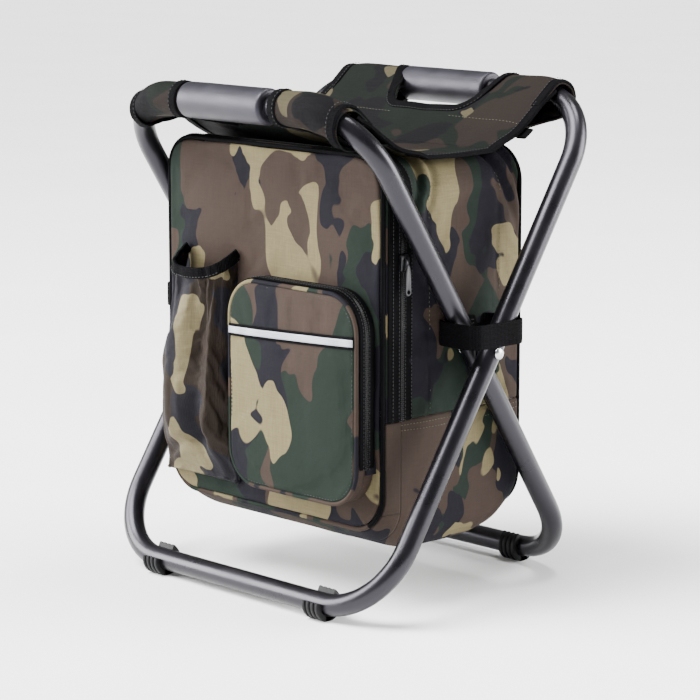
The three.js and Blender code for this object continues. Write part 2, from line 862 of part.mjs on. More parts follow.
function pullPlate(length, width, thickness, holeRadius) {
  const round = width / 3;
  const shape = new THREE.Shape(roundedOutline(-width / 2, width / 2, -length, 0, round, round, zip.roundSteps));
  shape.holes.push(new THREE.Path(ringOutline(holeRadius, zip.holeSides).map(
    (point) => new THREE.Vector2(point.x, point.y - length + zip.holeInset_share * holeRadius),
  )));
  const plate = new THREE.ExtrudeGeometry(shape, { depth: thickness, bevelEnabled: false });
  return plate.rotateX(Math.PI / 2).rotateZ(Math.PI / 2);
}

const pull = addPiece(
  part, "main_zip_pull",
  pullPlate(zip.pullLength, zip.pullWidth, zip.pullThickness, zip.pullHole), finish.zip,
);
const bridgeOuter = zip.sliderRise - zip.bridgeRise / 2 + zip.bridgeRise + zip.bridgeRise / 4;
pull.position.set(sliderFace + bridgeOuter + clearance, zipDepth, sliderHeight - zip.bridgeRise / 2);

// Zipped front pocket: a fixed lower gusset, and a face with its own gusset that folds down from the bottom

const panelFace = frontFace - frontPanel.thickness - frontPanel.crown - clearance;
const pocketSplit = panelFace - pocket.baseDepth;
const pocketFace = pocketSplit - pocket.faceDepth;

function pocketOutline(inset) {
  const round = pocket.round - inset;
  return roundedOutline(
    pocket.left + inset, pocketRight - inset, pocket.bottom + inset, pocket.top - inset,
    round, round, pocket.roundSteps,
  );
}

function pocketBand(inset, thickness, from, to) {
  const outer = prism(pocketOutline(inset), from, to, alongY);
  return cut(outer, prism(pocketOutline(inset + thickness), from - overrun, to + overrun, alongY));
}

addPiece(
  part, "pocket_gusset",
  pocketBand(0, pocket.wall, pocketSplit + clearance / 2, panelFace), finish.camouflage,
);

function pocketDoor() {
  const gusset = pocketBand(0, pocket.wall, pocketFace - pocket.faceThickness / 2, pocketSplit - clearance / 2);
  const face = paddedPanel(
    pocketOutline, pocketFace,
    { thickness: pocket.faceThickness, crown: pocket.crown, crownInset: pocket.crownInset }, -1,
  );
  return join(gusset, face);
}

const stripTop = pocket.top - pocket.stripDrop;
const outerFace = pocketFace - pocket.faceThickness - pocket.crown;
const seam = paddedPanel(
  (inset) => pocketOutline(inset + clearance), outerFace,
  { thickness: pocket.stripThickness, crown: clearance, crownInset: pocket.crownInset }, -1,
);
const flatLeft = pocket.left + pocket.crownInset;
const flatRight = pocketRight - pocket.crownInset;
const strip = keep(
  seam, box(flatLeft, flatRight, outerFace - overrun, outerFace - clearance, stripTop - pocket.stripHeight, stripTop),
);
addPiece(part, "pocket_face", pocketDoor(), finish.camouflage);
addPiece(part, "pocket_reflective_strip", strip, finish.reflective);

function pocketTape(from, to) {
  const ring = pocketBand(-clearance - zip.thickness, zip.thickness, from, to);
  return keep(ring, above(pocket.zipEnd));
}

addPiece(
  part, "pocket_zip_tape_panel",
  pocketTape(pocketSplit + clearance / 2, pocketSplit + pocket.tape), finish.zip,
);
addPiece(
  part, "pocket_zip_tape_face",
  pocketTape(pocketSplit - pocket.tape, pocketSplit - clearance / 2), finish.zip,
);

const pocketSliderFace = pocket.left - 2 * clearance - zip.thickness;
const pocketSlider = sliderBody(pocket.sliderLength, pocket.sliderWidth, pocket.sliderRise, pocket.sliderWidth / 4);
const smallSlider = addPiece(part, "pocket_zip_slider", pocketSlider.rotateZ(Math.PI), finish.zip);
smallSlider.position.set(pocketSliderFace, pocketSplit, pocket.sliderHeight);
const smallPull = addPiece(
  part, "pocket_zip_pull",
  pullPlate(pocket.pullLength, pocket.pullWidth, pocket.pullThickness, pocket.pullHole), finish.zip,
);
smallPull.position.set(
  pocketSliderFace - pocket.sliderRise - clearance - pocket.pullThickness, pocketSplit, pocket.sliderHeight,
);

// Open bottle pocket: a bellied cloth pouch, drawn in at its mouth by an elastic band that dips at its front

const bellyShares = Array.from({ length: bottlePocket.levels + 1 }, (_, i) => i / bottlePocket.levels);

const emptiedAt = (z) => Math.max((z - bottlePocket.bottom) / (bottlePocket.backTop - bottlePocket.bottom), 0);

function bottleDepth(z) {
  const filled = Math.min((z - bottlePocket.bottom) / bottlePocket.fillHeight, 1);
  const emptied = emptiedAt(z);
  const low = bottlePocket.bottomDepth_share + (1 - bottlePocket.bottomDepth_share) * Math.sin((Math.PI / 2) * filled);
  return bottlePocket.depth * low * (1 - (1 - bottlePocket.topDepth_share) * emptied ** 2);
}

function bottleOutline(z, inset) {
  const depth = bottleDepth(z);
  const left = bottleLeft + bottlePocket.mouthGather * emptiedAt(z) ** 2;
  const centre = (left + bottleRight) / 2;
  const half = (bottleRight - left) / 2 - inset;
  const power = 2 / bottlePocket.fullness;
  const front = Array.from({ length: bottlePocket.sides + 1 }, (_, i) => {
    const angle = Math.PI + (Math.PI * i) / bottlePocket.sides;
    const across = Math.sign(Math.cos(angle)) * Math.abs(Math.cos(angle)) ** power;
    const out = Math.abs(Math.sin(angle)) ** power;
    return new THREE.Vector2(centre + half * across, panelFace - (depth - inset) * out);
  });
  const behind = panelFace + overrun;
  return [...front, new THREE.Vector2(centre + half, behind), new THREE.Vector2(centre - half, behind)];
}

function bottleForm(inset, from, to) {
  const stations = bellyShares.map((share) => {
    const z = from + (to - from) * share;
    return { outline: bottleOutline(z, inset), at: z };
  });
  return loft(stations, alongZ);
}

function mouthSlab(lower, upper) {
  const depth = bottlePocket.depth;
  const fall = bottlePocket.mouthDip / depth;
  const behind = panelFace + overrun;
  const ahead = panelFace - 2 * depth;
  const heightAt = (y) => bottlePocket.backTop - fall * (panelFace - y);
  const outline = [
    new THREE.Vector2(behind, heightAt(behind) + lower),
    new THREE.Vector2(ahead, heightAt(ahead) + lower),
    new THREE.Vector2(ahead, heightAt(ahead) + upper),
    new THREE.Vector2(behind, heightAt(behind) + upper),
  ];
  return prism(outline, 2 * bottleLeft, 0, alongX);
}

const inFront = box(-wide, wide, -wide, panelFace, 0, bagHighest);
const pouchTop = bottlePocket.backTop + overrun;
const pouch = cut(
  bottleForm(0, bottlePocket.bottom, pouchTop),
  bottleForm(bottlePocket.wall, bottlePocket.bottom + bottlePocket.wall, pouchTop + overrun),
  mouthSlab(-bottlePocket.bandHeight - clearance, bagHighest),
);
addPiece(part, "bottle_pocket", keep(pouch, inFront), finish.camouflage);

const bandGrowth = (bottlePocket.bandThickness - bottlePocket.wall) / 2;
const band = cut(
  bottleForm(-bandGrowth, bottlePocket.bottom, pouchTop),
  bottleForm(bottlePocket.wall + bandGrowth, bottlePocket.bottom - overrun, pouchTop + overrun),
);
addPiece(
  part, "bottle_pocket_band",
  keep(keep(band, inFront), mouthSlab(-bottlePocket.bandHeight, 0)), finish.webbing,
);

// Elastic straps from the bag's sides round both legs, just above the rivets

function legStrapGeometry(side, frontReach) {
  const near = bagHalfWidth + clearance + legStrap.thickness / 2;
  const far = outerHalfWidth + tube.radius + legStrap.besideTube + legStrap.thickness / 2;
  const rear = legStrap.halfDepth;
  const front = -frontReach;
  const round = legStrap.round;
  const path = [
    new THREE.Vector2(near, front + round + legStrap.footLength),
    ...arc(near + round, front + round, round, 180, 270, legStrap.roundSteps),
    ...arc(far - round, front + round, round, 270, 360, legStrap.roundSteps),
    ...arc(far - round, rear - round, round, 0, 90, legStrap.roundSteps),
    ...arc(near + round, rear - round, round, 90, 180, legStrap.roundSteps),
    new THREE.Vector2(near, rear - round - legStrap.footLength),
  ];
  const bottom = pivotHeight + legStrap.abovePivot;
  return prism(
    stripOutline(path, legStrap.thickness), bottom, bottom + legStrap.height,
    (u, v, z) => new THREE.Vector3(side * u, v, z),
  );
}

addPiece(part, "leg_strap_right", legStrapGeometry(1, legStrap.halfDepth), finish.webbing);
addPiece(part, "leg_strap_left", legStrapGeometry(-1, legStrap.looseFront), finish.webbing);

// Shoulder straps on the back: a padded upper strap, a webbing tail and a buckle between them

const backOuter = bag.rear + backPanel.crown + clearance;

function strapSheet(bottom, top, width, thickness, bow, side) {
  const steps = Math.ceil((top - bottom) / shoulder.stepHeight);
  const rows = Array.from({ length: steps + 1 }, (_, i) => {
    const share = i / steps;
    const z = bottom + (top - bottom) * share;
    const travel = (z - shoulder.bottomHeight) / (strapTop - shoulder.bottomHeight);
    const out = backOuter + bow * Math.sin(Math.PI * travel);
    const round = Math.min(shoulder.cornerRound, thickness / 3);
    const centre = out + thickness / 2;
    const outline = roundedOutline(
      side * shoulder.centre - width / 2, side * shoulder.centre + width / 2,
      centre - thickness / 2, centre + thickness / 2, round, round, shoulder.cornerSteps,
    );
    return { outline, at: z };
  });
  return loft(rows, alongZ);
}

for (const [name, side] of [["left", -1], ["right", 1]]) {
  const buckleTop = shoulder.padBottom - clearance;
  const buckleBottom = buckleTop - shoulder.buckleHeight;
  const padTop = strapTop - shoulder.anchorHeight;
  const pad = strapSheet(shoulder.padBottom, padTop, shoulder.padWidth, shoulder.padThickness, shoulder.bow, side);
  const anchor = strapSheet(
    padTop + clearance, strapTop, shoulder.webWidth, shoulder.webThickness, shoulder.bow, side,
  );
  const buckle = strapSheet(
    buckleBottom, buckleTop, shoulder.buckleWidth, shoulder.buckleThickness, shoulder.bow, side,
  );
  const tail = strapSheet(
    shoulder.bottomHeight, buckleBottom - clearance, shoulder.webWidth, shoulder.webThickness, shoulder.bow, side,
  );
  addPiece(part, `shoulder_pad_${name}`, pad, finish.camouflage);
  addPiece(part, `shoulder_anchor_${name}`, anchor, finish.webbing);
  addPiece(part, `strap_buckle_${name}`, buckle, finish.rubber);
  addPiece(part, `shoulder_web_${name}`, tail, finish.webbing);
}

export default part;
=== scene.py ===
"""Looks of a folding cooler stool: crossed tube frames, a cloth sling and an insulated bag with pockets."""

import logging
import math
from collections.abc import Callable, Iterable, Sequence
from dataclasses import dataclass
from enum import Enum

import bmesh
import bpy
import numpy as np
from mathutils import Matrix, Vector, noise


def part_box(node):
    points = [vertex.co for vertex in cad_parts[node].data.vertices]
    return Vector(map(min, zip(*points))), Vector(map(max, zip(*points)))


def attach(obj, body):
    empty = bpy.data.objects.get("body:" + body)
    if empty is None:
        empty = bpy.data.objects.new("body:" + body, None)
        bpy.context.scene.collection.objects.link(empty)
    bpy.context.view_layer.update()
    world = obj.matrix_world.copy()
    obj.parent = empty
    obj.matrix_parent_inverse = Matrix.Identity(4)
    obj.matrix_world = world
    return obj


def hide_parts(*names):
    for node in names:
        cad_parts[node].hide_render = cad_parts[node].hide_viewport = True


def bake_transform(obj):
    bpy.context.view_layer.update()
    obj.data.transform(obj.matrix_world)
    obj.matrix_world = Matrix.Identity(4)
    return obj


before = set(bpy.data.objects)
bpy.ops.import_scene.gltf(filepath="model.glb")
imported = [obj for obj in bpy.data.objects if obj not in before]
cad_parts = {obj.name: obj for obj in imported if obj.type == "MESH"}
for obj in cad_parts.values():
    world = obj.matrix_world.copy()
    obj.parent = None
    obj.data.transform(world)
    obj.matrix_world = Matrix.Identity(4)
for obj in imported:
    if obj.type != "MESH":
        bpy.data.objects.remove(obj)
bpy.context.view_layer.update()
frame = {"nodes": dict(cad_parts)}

log = logging.getLogger("stool")

Socket = bpy.types.NodeSocket
Pair = tuple[float, float]
Triple = tuple[float, float, float]
Place = Callable[[float, float], Vector]

MERGE = 1e-6
PROBE = 0.001
GAP = 0.0003
HALF_GAP = GAP / 2
FRONT, REAR = -1, 1
ABOVE, BELOW = 1, -1
BAG, FLAP, DOOR = "bag", "front_flap", "pocket_door"
INNER, OUTER = "inner_frame", "outer_frame"
UP, FORWARD, BACKWARD = Vector((0, 0, 1)), Vector((0, -1, 0)), Vector((0, 1, 0))
BAG_CORE = Vector((0, 0, 0.2))
UNDER_SEAT = Vector((0, 0, 0.1))


class Side(Enum):
    """The stool's two sides, by the sign of X."""

    RIGHT = 1
    LEFT = -1

    @property
    def word(self) -> str:
        """The side's name in piece names."""
        return self.name.lower()


def mix(a: float, b: float, share: float) -> float:
    """The value at a share of the way from a to b."""
    return a + (b - a) * share


def spread(start: float, end: float, count: int) -> list[float]:
    """Evenly spaced values from start to end, with both of them."""
    return [mix(start, end, i / count) for i in range(count + 1)]


def clamp(value: float, low: float = 0.0, high: float = 1.0) -> float:
    """A value, held between two limits."""
    return min(max(value, low), high)


def ease(value: float, start: float, end: float) -> float:
    """0 before start, 1 after end and a smooth rise between them."""
    share = clamp((value - start) / (end - start))
    return share * share * (3 - 2 * share)


def hump(value: float, centre: float, reach: float) -> float:
    """A smooth bump of height 1 at centre that fades out over about twice its reach."""
    return math.exp(-(((value - centre) / reach) ** 2))


def crown(u: float, v: float, power: float = 0.3) -> float:
    """Height of a cushion at two shares across it: 0 at its rim and 1 in its middle."""
    return max(math.sin(math.pi * u) * math.sin(math.pi * v), 0.0) ** power


def linear(hex_colour: str) -> tuple[float, float, float, float]:
    """A colour written as six hex digits, as the linear values that a shader takes.

    Args:
        hex_colour: Red, green and blue, two digits each.

    Returns:
        Red, green, blue and an alpha of 1.
    """
    parts = [int(hex_colour[i:i + 2], 16) / 255 for i in (0, 2, 4)]
    toned = [p / 12.92 if p <= 0.04045 else ((p + 0.055) / 1.055) ** 2.4 for p in parts]
    return (*toned, 1.0)


def quarter(x: float, z: float, radius: float, start: float, count: int) -> list[Pair]:
    """The points of a quarter turn about (x, z), from a start angle in degrees."""
    angles = [math.radians(angle) for angle in spread(start, start + 90, count)]
    return [(x + radius * math.cos(a), z + radius * math.sin(a)) for a in angles]


def rounded_spot(u: float, v: float, box: Sequence[float], low: float, high: float) -> Pair:
    """The (x, z) of a grid point inside a rectangle with round corners.

    Args:
        u: Share across.
        v: Share up.
        box: Left, right, bottom and top.
        low: Radius of the lower corners.
        high: Radius of the upper corners.

    Returns:
        The point.
    """
    left, right, bottom, top = box
    x, z = mix(left, right, u), mix(bottom, top, v)
    radius = high if v > 0.5 else low
    cx = right - radius if u > 0.5 else left + radius
    cz = top - radius if v > 0.5 else bottom + radius
    a, b = (x - cx) / radius, (z - cz) / radius
    if a * (u - 0.5) > 0 and b * (v - 0.5) > 0:
        x = cx + radius * a * math.sqrt(1 - b * b / 2)
        z = cz + radius * b * math.sqrt(1 - a * a / 2)
    return x, z


class Graph:
    """A material's nodes, with short ways to add and join them."""

    def __init__(self, name: str) -> None:
        """Starts a material with one principled shader.

        Args:
            name: The material's name.
        """
        self.material = bpy.data.materials.new(name)
        self.material.use_nodes = True
        self.nodes = self.material.node_tree.nodes
        self.shader = self.nodes["Principled BSDF"]
        self.place = self.nodes.new("ShaderNodeTexCoord").outputs["Object"]

    def fill(self, node: bpy.types.Node, inputs: dict) -> None:
        """Fills a node's inputs.

        Args:
            node: The node to fill.
            inputs: Values or other nodes' outputs, by input name or number.
        """
        for key, value in inputs.items():
            if isinstance(value, Socket):
                self.material.node_tree.links.new(value, node.inputs[key])
            else:
                node.inputs[key].default_value = value

    def dress(self, colour: object, rough: object, **inputs: object) -> None:
        """Sets the shader's colour, its roughness and any other input, by its name with underscores."""
        named = {key.replace("_", " "): value for key, value in inputs.items()}
        self.fill(self.shader, {"Base Color": colour, "Roughness": rough, **named})

    def add(self, kind: str, inputs: dict, output: int | str = 0, **options: str) -> Socket:
        """Adds a node.

        Args:
            kind: The node's type name after ShaderNode.
            inputs: Values or outputs for its inputs.
            output: The output that is wanted.
            options: Its settings, such as operation.

        Returns:
            That output.
        """
        node = self.nodes.new("ShaderNode" + kind)
        for key, value in options.items():
            setattr(node, key, value)
        self.fill(node, inputs)
        return node.outputs[output]

    def vector(self, operation: str, *inputs: object, output: int | str = 0) -> Socket:
        """The result of vector maths."""
        return self.add("VectorMath", dict(enumerate(inputs)), output, operation=operation)

    def moved(self, shift: Sequence[float] = (0, 0, 0), stretch: Sequence[float] = (1, 1, 1),
              turn: Sequence[float] = (0, 0, 0)) -> Socket:
        """Object coordinates, shifted, turned and stretched."""
        inputs = {"Vector": self.place, "Location": shift, "Rotation": turn, "Scale": stretch}
        return self.add("Mapping", inputs)

    def grain(self, scale: float, detail: float = 2.0, vector: Socket | None = None,
              output: str = "Fac") -> Socket:
        """Noise of a given fineness, per metre, at a vector or at the object coordinates."""
        inputs = {"Vector": vector or self.place, "Scale": scale, "Detail": detail, "Roughness": 0.55}
        return self.add("TexNoise", inputs, output)

    def span(self, value: Socket, to_low: float = 0.0, to_high: float = 1.0, low: float = 0.3,
             high: float = 0.7) -> Socket:
        """A value moved from one range to another, and held inside it."""
        inputs = {"Value": value, "From Min": low, "From Max": high, "To Min": to_low, "To Max": to_high}
        return self.add("MapRange", inputs)

    def blend(self, share: Socket, a: object, b: object) -> Socket:
        """Colour a, changed into colour b by a share."""
        return self.add("Mix", {0: share, 6: a, 7: b}, 2, data_type="RGBA", blend_type="MIX")

    def dimmed(self, colour: Socket, share: Socket | float) -> Socket:
        """A colour or vector times a share."""
        return self.add("VectorMath", {0: colour, "Scale": share}, operation="SCALE")

    def sum(self, a: Socket, weight: float, b: object) -> Socket:
        """b plus a times a weight."""
        return self.add("Math", {0: a, 1: weight, 2: b}, operation="MULTIPLY_ADD")

    def threads(self, pitch: float) -> Socket:
        """Crossing threads of a given pitch, as a height that holds on faces along any axis."""
        wave = self.vector("SINE", self.dimmed(self.place, math.tau / pitch))
        return self.vector("DOT_PRODUCT", wave, (1, 1, 1), output="Value")

    def stirred(self, vector: Socket, scale: float, reach: float) -> Socket:
        """Coordinates pushed about by noise of a given fineness, as far as its reach."""
        centred = self.vector("SUBTRACT", self.grain(scale, 1.0, vector, "Color"), (0.5, 0.5, 0.5))
        return self.vector("MULTIPLY_ADD", centred, (reach, reach, reach), vector)

    def bump(self, height: Socket, depth: float, strength: float) -> None:
        """Raises the surface by a height, in metres."""
        inputs = {"Height": height, "Distance": depth, "Strength": strength}
        self.fill(self.shader, {"Normal": self.add("Bump", inputs)})


@dataclass(frozen=True)
class Finish:
    """One surface finish. Each kind paints its own graph."""

    name: str
    slot: str

    def material(self) -> bpy.types.Material:
        """The finish as a material, made once.

        Returns:
            The material.
        """
        found = bpy.data.materials.get(self.name)
        if found:
            return found
        graph = Graph(self.name)
        self.paint(graph)
        return graph.material

    def paint(self, graph: Graph) -> None:
        """Fills the graph."""
        raise NotImplementedError


@dataclass(frozen=True)
class Camouflage(Finish):
    """Printed oxford cloth in four woodland colours. Each panel is cut from another place of the print."""

    shift: Triple = (0, 0, 0)
    turn: float = 0.0
    brown: str = "322924"
    green: str = "171f1a"
    slate: str = "131218"
    tan: str = "625a42"
    fineness: float = 14.5
    edge: float = 0.002
    levels: Triple = (0.515, 0.54, 0.60)
    gloss: float = 0.0

    def paint(self, graph: Graph) -> None:
        """Layers warped blots of green, slate and tan on brown, under a fine weave.

        Args:
            graph: The material's graph.
        """
        laid = graph.moved(self.shift, (1.2, 1.2, 0.8), (0, self.turn, 0))
        warped = graph.stirred(graph.stirred(laid, 13.0, 0.075), 34.0, 0.030)
        colour: object = linear(self.brown)
        for layer, (tone, level) in enumerate(zip((self.green, self.slate, self.tan), self.levels)):
            spot = graph.vector("ADD", warped, (3.1 * layer, 1.7 * layer, 0.9))
            blot = graph.grain(self.fineness, 0.8, spot)
            share = graph.span(blot, low=level - self.edge, high=level + self.edge)
            colour = graph.blend(share, colour, linear(tone))
        self.weave(graph, colour)

    def weave(self, graph: Graph, colour: Socket) -> None:
        """Adds the yarn's streaks, the cloth's dull shine and the bump of threads and small creases.

        Args:
            graph: The material's graph.
            colour: The print.
        """
        upright, level = (graph.grain(900.0, 1.0, graph.moved(stretch=stretch))
                          for stretch in ((1, 1, 0.06), (0.06, 0.06, 1)))
        streaks = graph.sum(upright, 0.5, graph.sum(level, 0.5, 0.0))
        shades = {0: graph.span(streaks, 0.86, 1.14), 1: graph.span(graph.grain(9.0, 3.0), 0.93, 1.07)}
        lit = graph.dimmed(colour, graph.add("Math", shades, operation="MULTIPLY"))
        graph.dress(lit, graph.span(streaks, 0.72 - self.gloss, 0.88 - self.gloss),
                    Specular_IOR_Level=0.08 + self.gloss)
        creases = graph.grain(95.0, 3.0)
        graph.bump(graph.sum(graph.threads(0.00095), 0.055, graph.sum(streaks, 0.25, creases)), 0.0011, 0.42)


@dataclass(frozen=True)
class Tape(Finish):
    """Woven black tape: binding, elastic or webbing, with ribs of a given pitch."""

    tone: str = "050506"
    pitch: float = 0.0012
    depth: float = 0.0005
    dusty: str = "09090b"

    def paint(self, graph: Graph) -> None:
        """A near-black weave whose ribs catch the light.

        Args:
            graph: The material's graph.
        """
        ribs, fuzz = graph.threads(self.pitch), graph.grain(700.0)
        colour = graph.blend(graph.span(graph.grain(40.0, 3.0)), linear(self.tone), linear(self.dusty))
        lit = graph.dimmed(colour, graph.span(ribs, 0.72, 1.22, -2.0, 2.0))
        graph.dress(lit, graph.span(fuzz, 0.66, 0.85), Specular_IOR_Level=0.03)
        graph.bump(graph.sum(ribs, 0.3, fuzz), self.depth, 0.5)


@dataclass(frozen=True)
class Coated(Finish):
    """Smooth hard surface: powder coat, moulded plastic, metal or film."""

    tone: str
    other: str
    metal: float = 0.0
    rough: float = 0.4
    coat: float = 0.0
    peel: float = 900.0
    depth: float = 0.00008
    wear: float = 0.05
    tint: str = "ffffff"
    gleam: float = 0.5

    def paint(self, graph: Graph) -> None:
        """A slightly uneven tone, with fine peel and a change of gloss where hands rub it.

        Args:
            graph: The material's graph.
        """
        cloud = graph.grain(26.0, 3.0)
        colour = graph.blend(graph.span(cloud, low=0.35, high=0.65), linear(self.tone), linear(self.other))
        graph.dress(colour, graph.span(cloud, self.rough - self.wear, self.rough + self.wear),
                    Metallic=self.metal, Coat_Weight=self.coat, Coat_Roughness=0.25,
                    Specular_Tint=linear(self.tint), Specular_IOR_Level=self.gleam)
        graph.bump(graph.grain(self.peel), self.depth, 0.5)


@dataclass(frozen=True)
class Foam(Finish):
    """Closed-cell foam with a satin skin and fine pores."""

    def paint(self, graph: Graph) -> None:
        """Dark grey, with pores in the bump and in the gloss.

        Args:
            graph: The material's graph.
        """
        pores = graph.add("TexVoronoi", {"Vector": graph.place, "Scale": 1500.0}, "Distance")
        cloud = graph.grain(55.0, 4.0)
        colour = graph.blend(graph.span(cloud), linear("121116"), linear("19181f"))
        graph.dress(colour, graph.span(cloud, 0.40, 0.52), Specular_IOR_Level=0.38,
                    Specular_Tint=linear("f4f0ff"))
        graph.bump(graph.sum(pores, 0.6, cloud), 0.00025, 0.4)


@dataclass(frozen=True)
class Mirrorband(Finish):
    """Silver reflective tape: small glass beads in a fine grid."""

    def paint(self, graph: Graph) -> None:
        """Pale grey with a fine diamond grid.

        Args:
            graph: The material's graph.
        """
        grid = graph.threads(0.0014)
        colour = graph.blend(graph.span(grid, low=-1.5, high=1.5), linear("888a93"), linear("aeafb7"))
        graph.dress(colour, 0.34, Metallic=0.25)
        graph.bump(grid, 0.0001, 0.35)


POWDER = Coated("powder_coat", "tube", "08080a", "0d0c10", 0.0, 0.30, tint="f4f0ff", gleam=0.40)
STEEL = Coated("bright_steel", "rivet", "c9c9cb", "b4b4b8", 1.0, 0.24, 0.0, 400.0)
SPACER = Coated("spacer_nylon", "washer", "0f0f11", "141416", 0.0, 0.5)
MOULDED = Coated("moulded_foot", "foot", "08080a", "0c0c0e", 0.0, 0.52, 0.0, 1300.0, 0.00012, gleam=0.2)
BUCKLE = Coated("buckle_plastic", "buckle", "0e0e10", "131315", 0.0, 0.42, 0.0, 1300.0, 0.0001)
PULLER = Coated("puller_lacquer", "zip_metal", "101013", "17171b", 0.35, 0.38, 0.1, 700.0)
TEETH = Coated("zip_coil_nylon", "zip", "0c0c0e", "131316", 0.0, 0.36)
FILM = Coated("liner_film", "liner", "b4b7bc", "c6c8cc", 0.35, 0.34, 0.0, 160.0, 0.0006)
THREAD = Coated("tan_thread", "camouflage", "42422e", "4d4c37", 0.0, 0.7, 0.0, 3000.0)
DARK_THREAD = Coated("black_thread", "webbing", "121214", "19191b", 0.0, 0.7, 0.0, 3000.0)
GRIP_FOAM = Foam("grip_foam", "foam")
BINDING = Tape("binding_tape", "webbing")
ZIP_TAPE = Tape("zip_tape", "zip", "040405", 0.0009, 0.0003)
ELASTIC = Tape("elastic_band", "webbing", "050506", 0.0016, 0.0006)
SILVER = Mirrorband("reflective_tape", "reflective")
MOSTLY_BROWN, MOSTLY_DARK = (0.56, 0.575, 0.60), (0.485, 0.545, 0.615)
FRONT_PRINT = Camouflage("print_front", "camouflage", levels=MOSTLY_BROWN)
HOOP_PRINT = Camouflage("print_sides", "camouflage", (0.31, 0.12, 0.4), 0.2, levels=MOSTLY_DARK)
BOOT_PRINT = Camouflage("print_bottom", "camouflage", (0.75, 0.3, 0.21), 1.2)
# The sling's four tones are about half as bright as the other prints' tones: painted shade over the seat's
# top, laid into its print.
SHADED_SLING_PRINT = Camouflage("print_sling_painted_shade", "camouflage", (1.2, 0.9, 0.37), 0.5, "1a1512", "0b0f0c", "08080a",
                         "3e392b", levels=MOSTLY_DARK)
POCKET_PRINT = Camouflage("print_pocket", "camouflage", (1.9, 0.2, 0.83), 1.15, fineness=11.5)
BOTTLE_PRINT = Camouflage("print_bottle", "camouflage", (2.4, 0.6, 0.11), 0.1, brown="1e1610", gloss=0.08,
                          levels=(0.60, 0.61, 0.635))
PIPING_PRINT = Camouflage("print_piping", "camouflage", (0.2, 2.6, 0.5), 0.9)
BACK_PRINT = Camouflage("print_back", "camouflage", (3.1, 1.6, 0.7), 0.0)


@dataclass(frozen=True)
class Section:
    """A closed section across a rail. Power 2 is an ellipse, and higher powers square it."""

    width: float
    height: float
    power: float = 2.0
    sides: int = 12

    def point(self, unit: Vector) -> Vector:
        """The section's point for a point of the unit circle."""
        across, out = (math.copysign(abs(c) ** (2 / self.power), c) for c in (unit.x, unit.y))
        return Vector((across * self.width / 2, out * self.height / 2, 0))


@dataclass
class Rail:
    """A path with one outward direction, or one for each of its points."""

    points: list[Vector]
    outward: list[Vector] | Vector
    closed: bool = False

    @classmethod
    def over(cls, surface: Callable[..., Vector], spots: Sequence[tuple[float, ...]], out: float) -> "Rail":
        """A path over a surface.

        Args:
            surface: Gives the point for a spot and a height above the surface.
            spots: The places on the surface.
            out: The path's height above it.

        Returns:
            The rail, with its outward directions.
        """
        points = [surface(*spot, out) for spot in spots]
        ways = [(surface(*spot, out + PROBE) - point).normalized() for spot, point in zip(spots, points)]
        return cls(points, ways)

    def normal(self, index: int) -> Vector:
        """The outward direction at a point."""
        return self.outward if isinstance(self.outward, Vector) else self.outward[index]

    def stations(self) -> list[Matrix]:
        """One matrix per point.

        Returns:
            The matrices: X across, Y outward and Z along the rail.
        """
        count = len(self.points)
        made = []
        for i, point in enumerate(self.points):
            before = self.points[i - 1 if self.closed else max(i - 1, 0)]
            after = self.points[(i + 1) % count if self.closed else min(i + 1, count - 1)]
            along = (after - before).normalized()
            out = self.normal(i)
            out = (out - along * out.dot(along)).normalized()
            turned = Matrix((out.cross(along), out, along)).transposed().to_4x4()
            made.append(Matrix.Translation(point) @ turned)
        return made

    def even(self, pitch: float) -> "Rail":
        """The same rail with points at an even pitch.

        Args:
            pitch: The wanted distance between points.

        Returns:
            The new rail.
        """
        line = self.points + self.points[:1] if self.closed else self.points
        spots = np.array([tuple(p) for p in line])
        outs = np.array([tuple(self.normal(i % len(self.points))) for i in range(len(line))])
        steps = np.r_[0, np.cumsum(np.linalg.norm(np.diff(spots, axis=0), axis=1))]
        count = max(int(round(steps[-1] / pitch)), 1)
        wanted = np.linspace(0, steps[-1], count + 1)[: count if self.closed else count + 1]
        points, ways = ([Vector([np.interp(w, steps, values[:, k]) for k in range(3)]) for w in wanted]
                        for values in (spots, outs))
        return Rail(points, ways, self.closed)


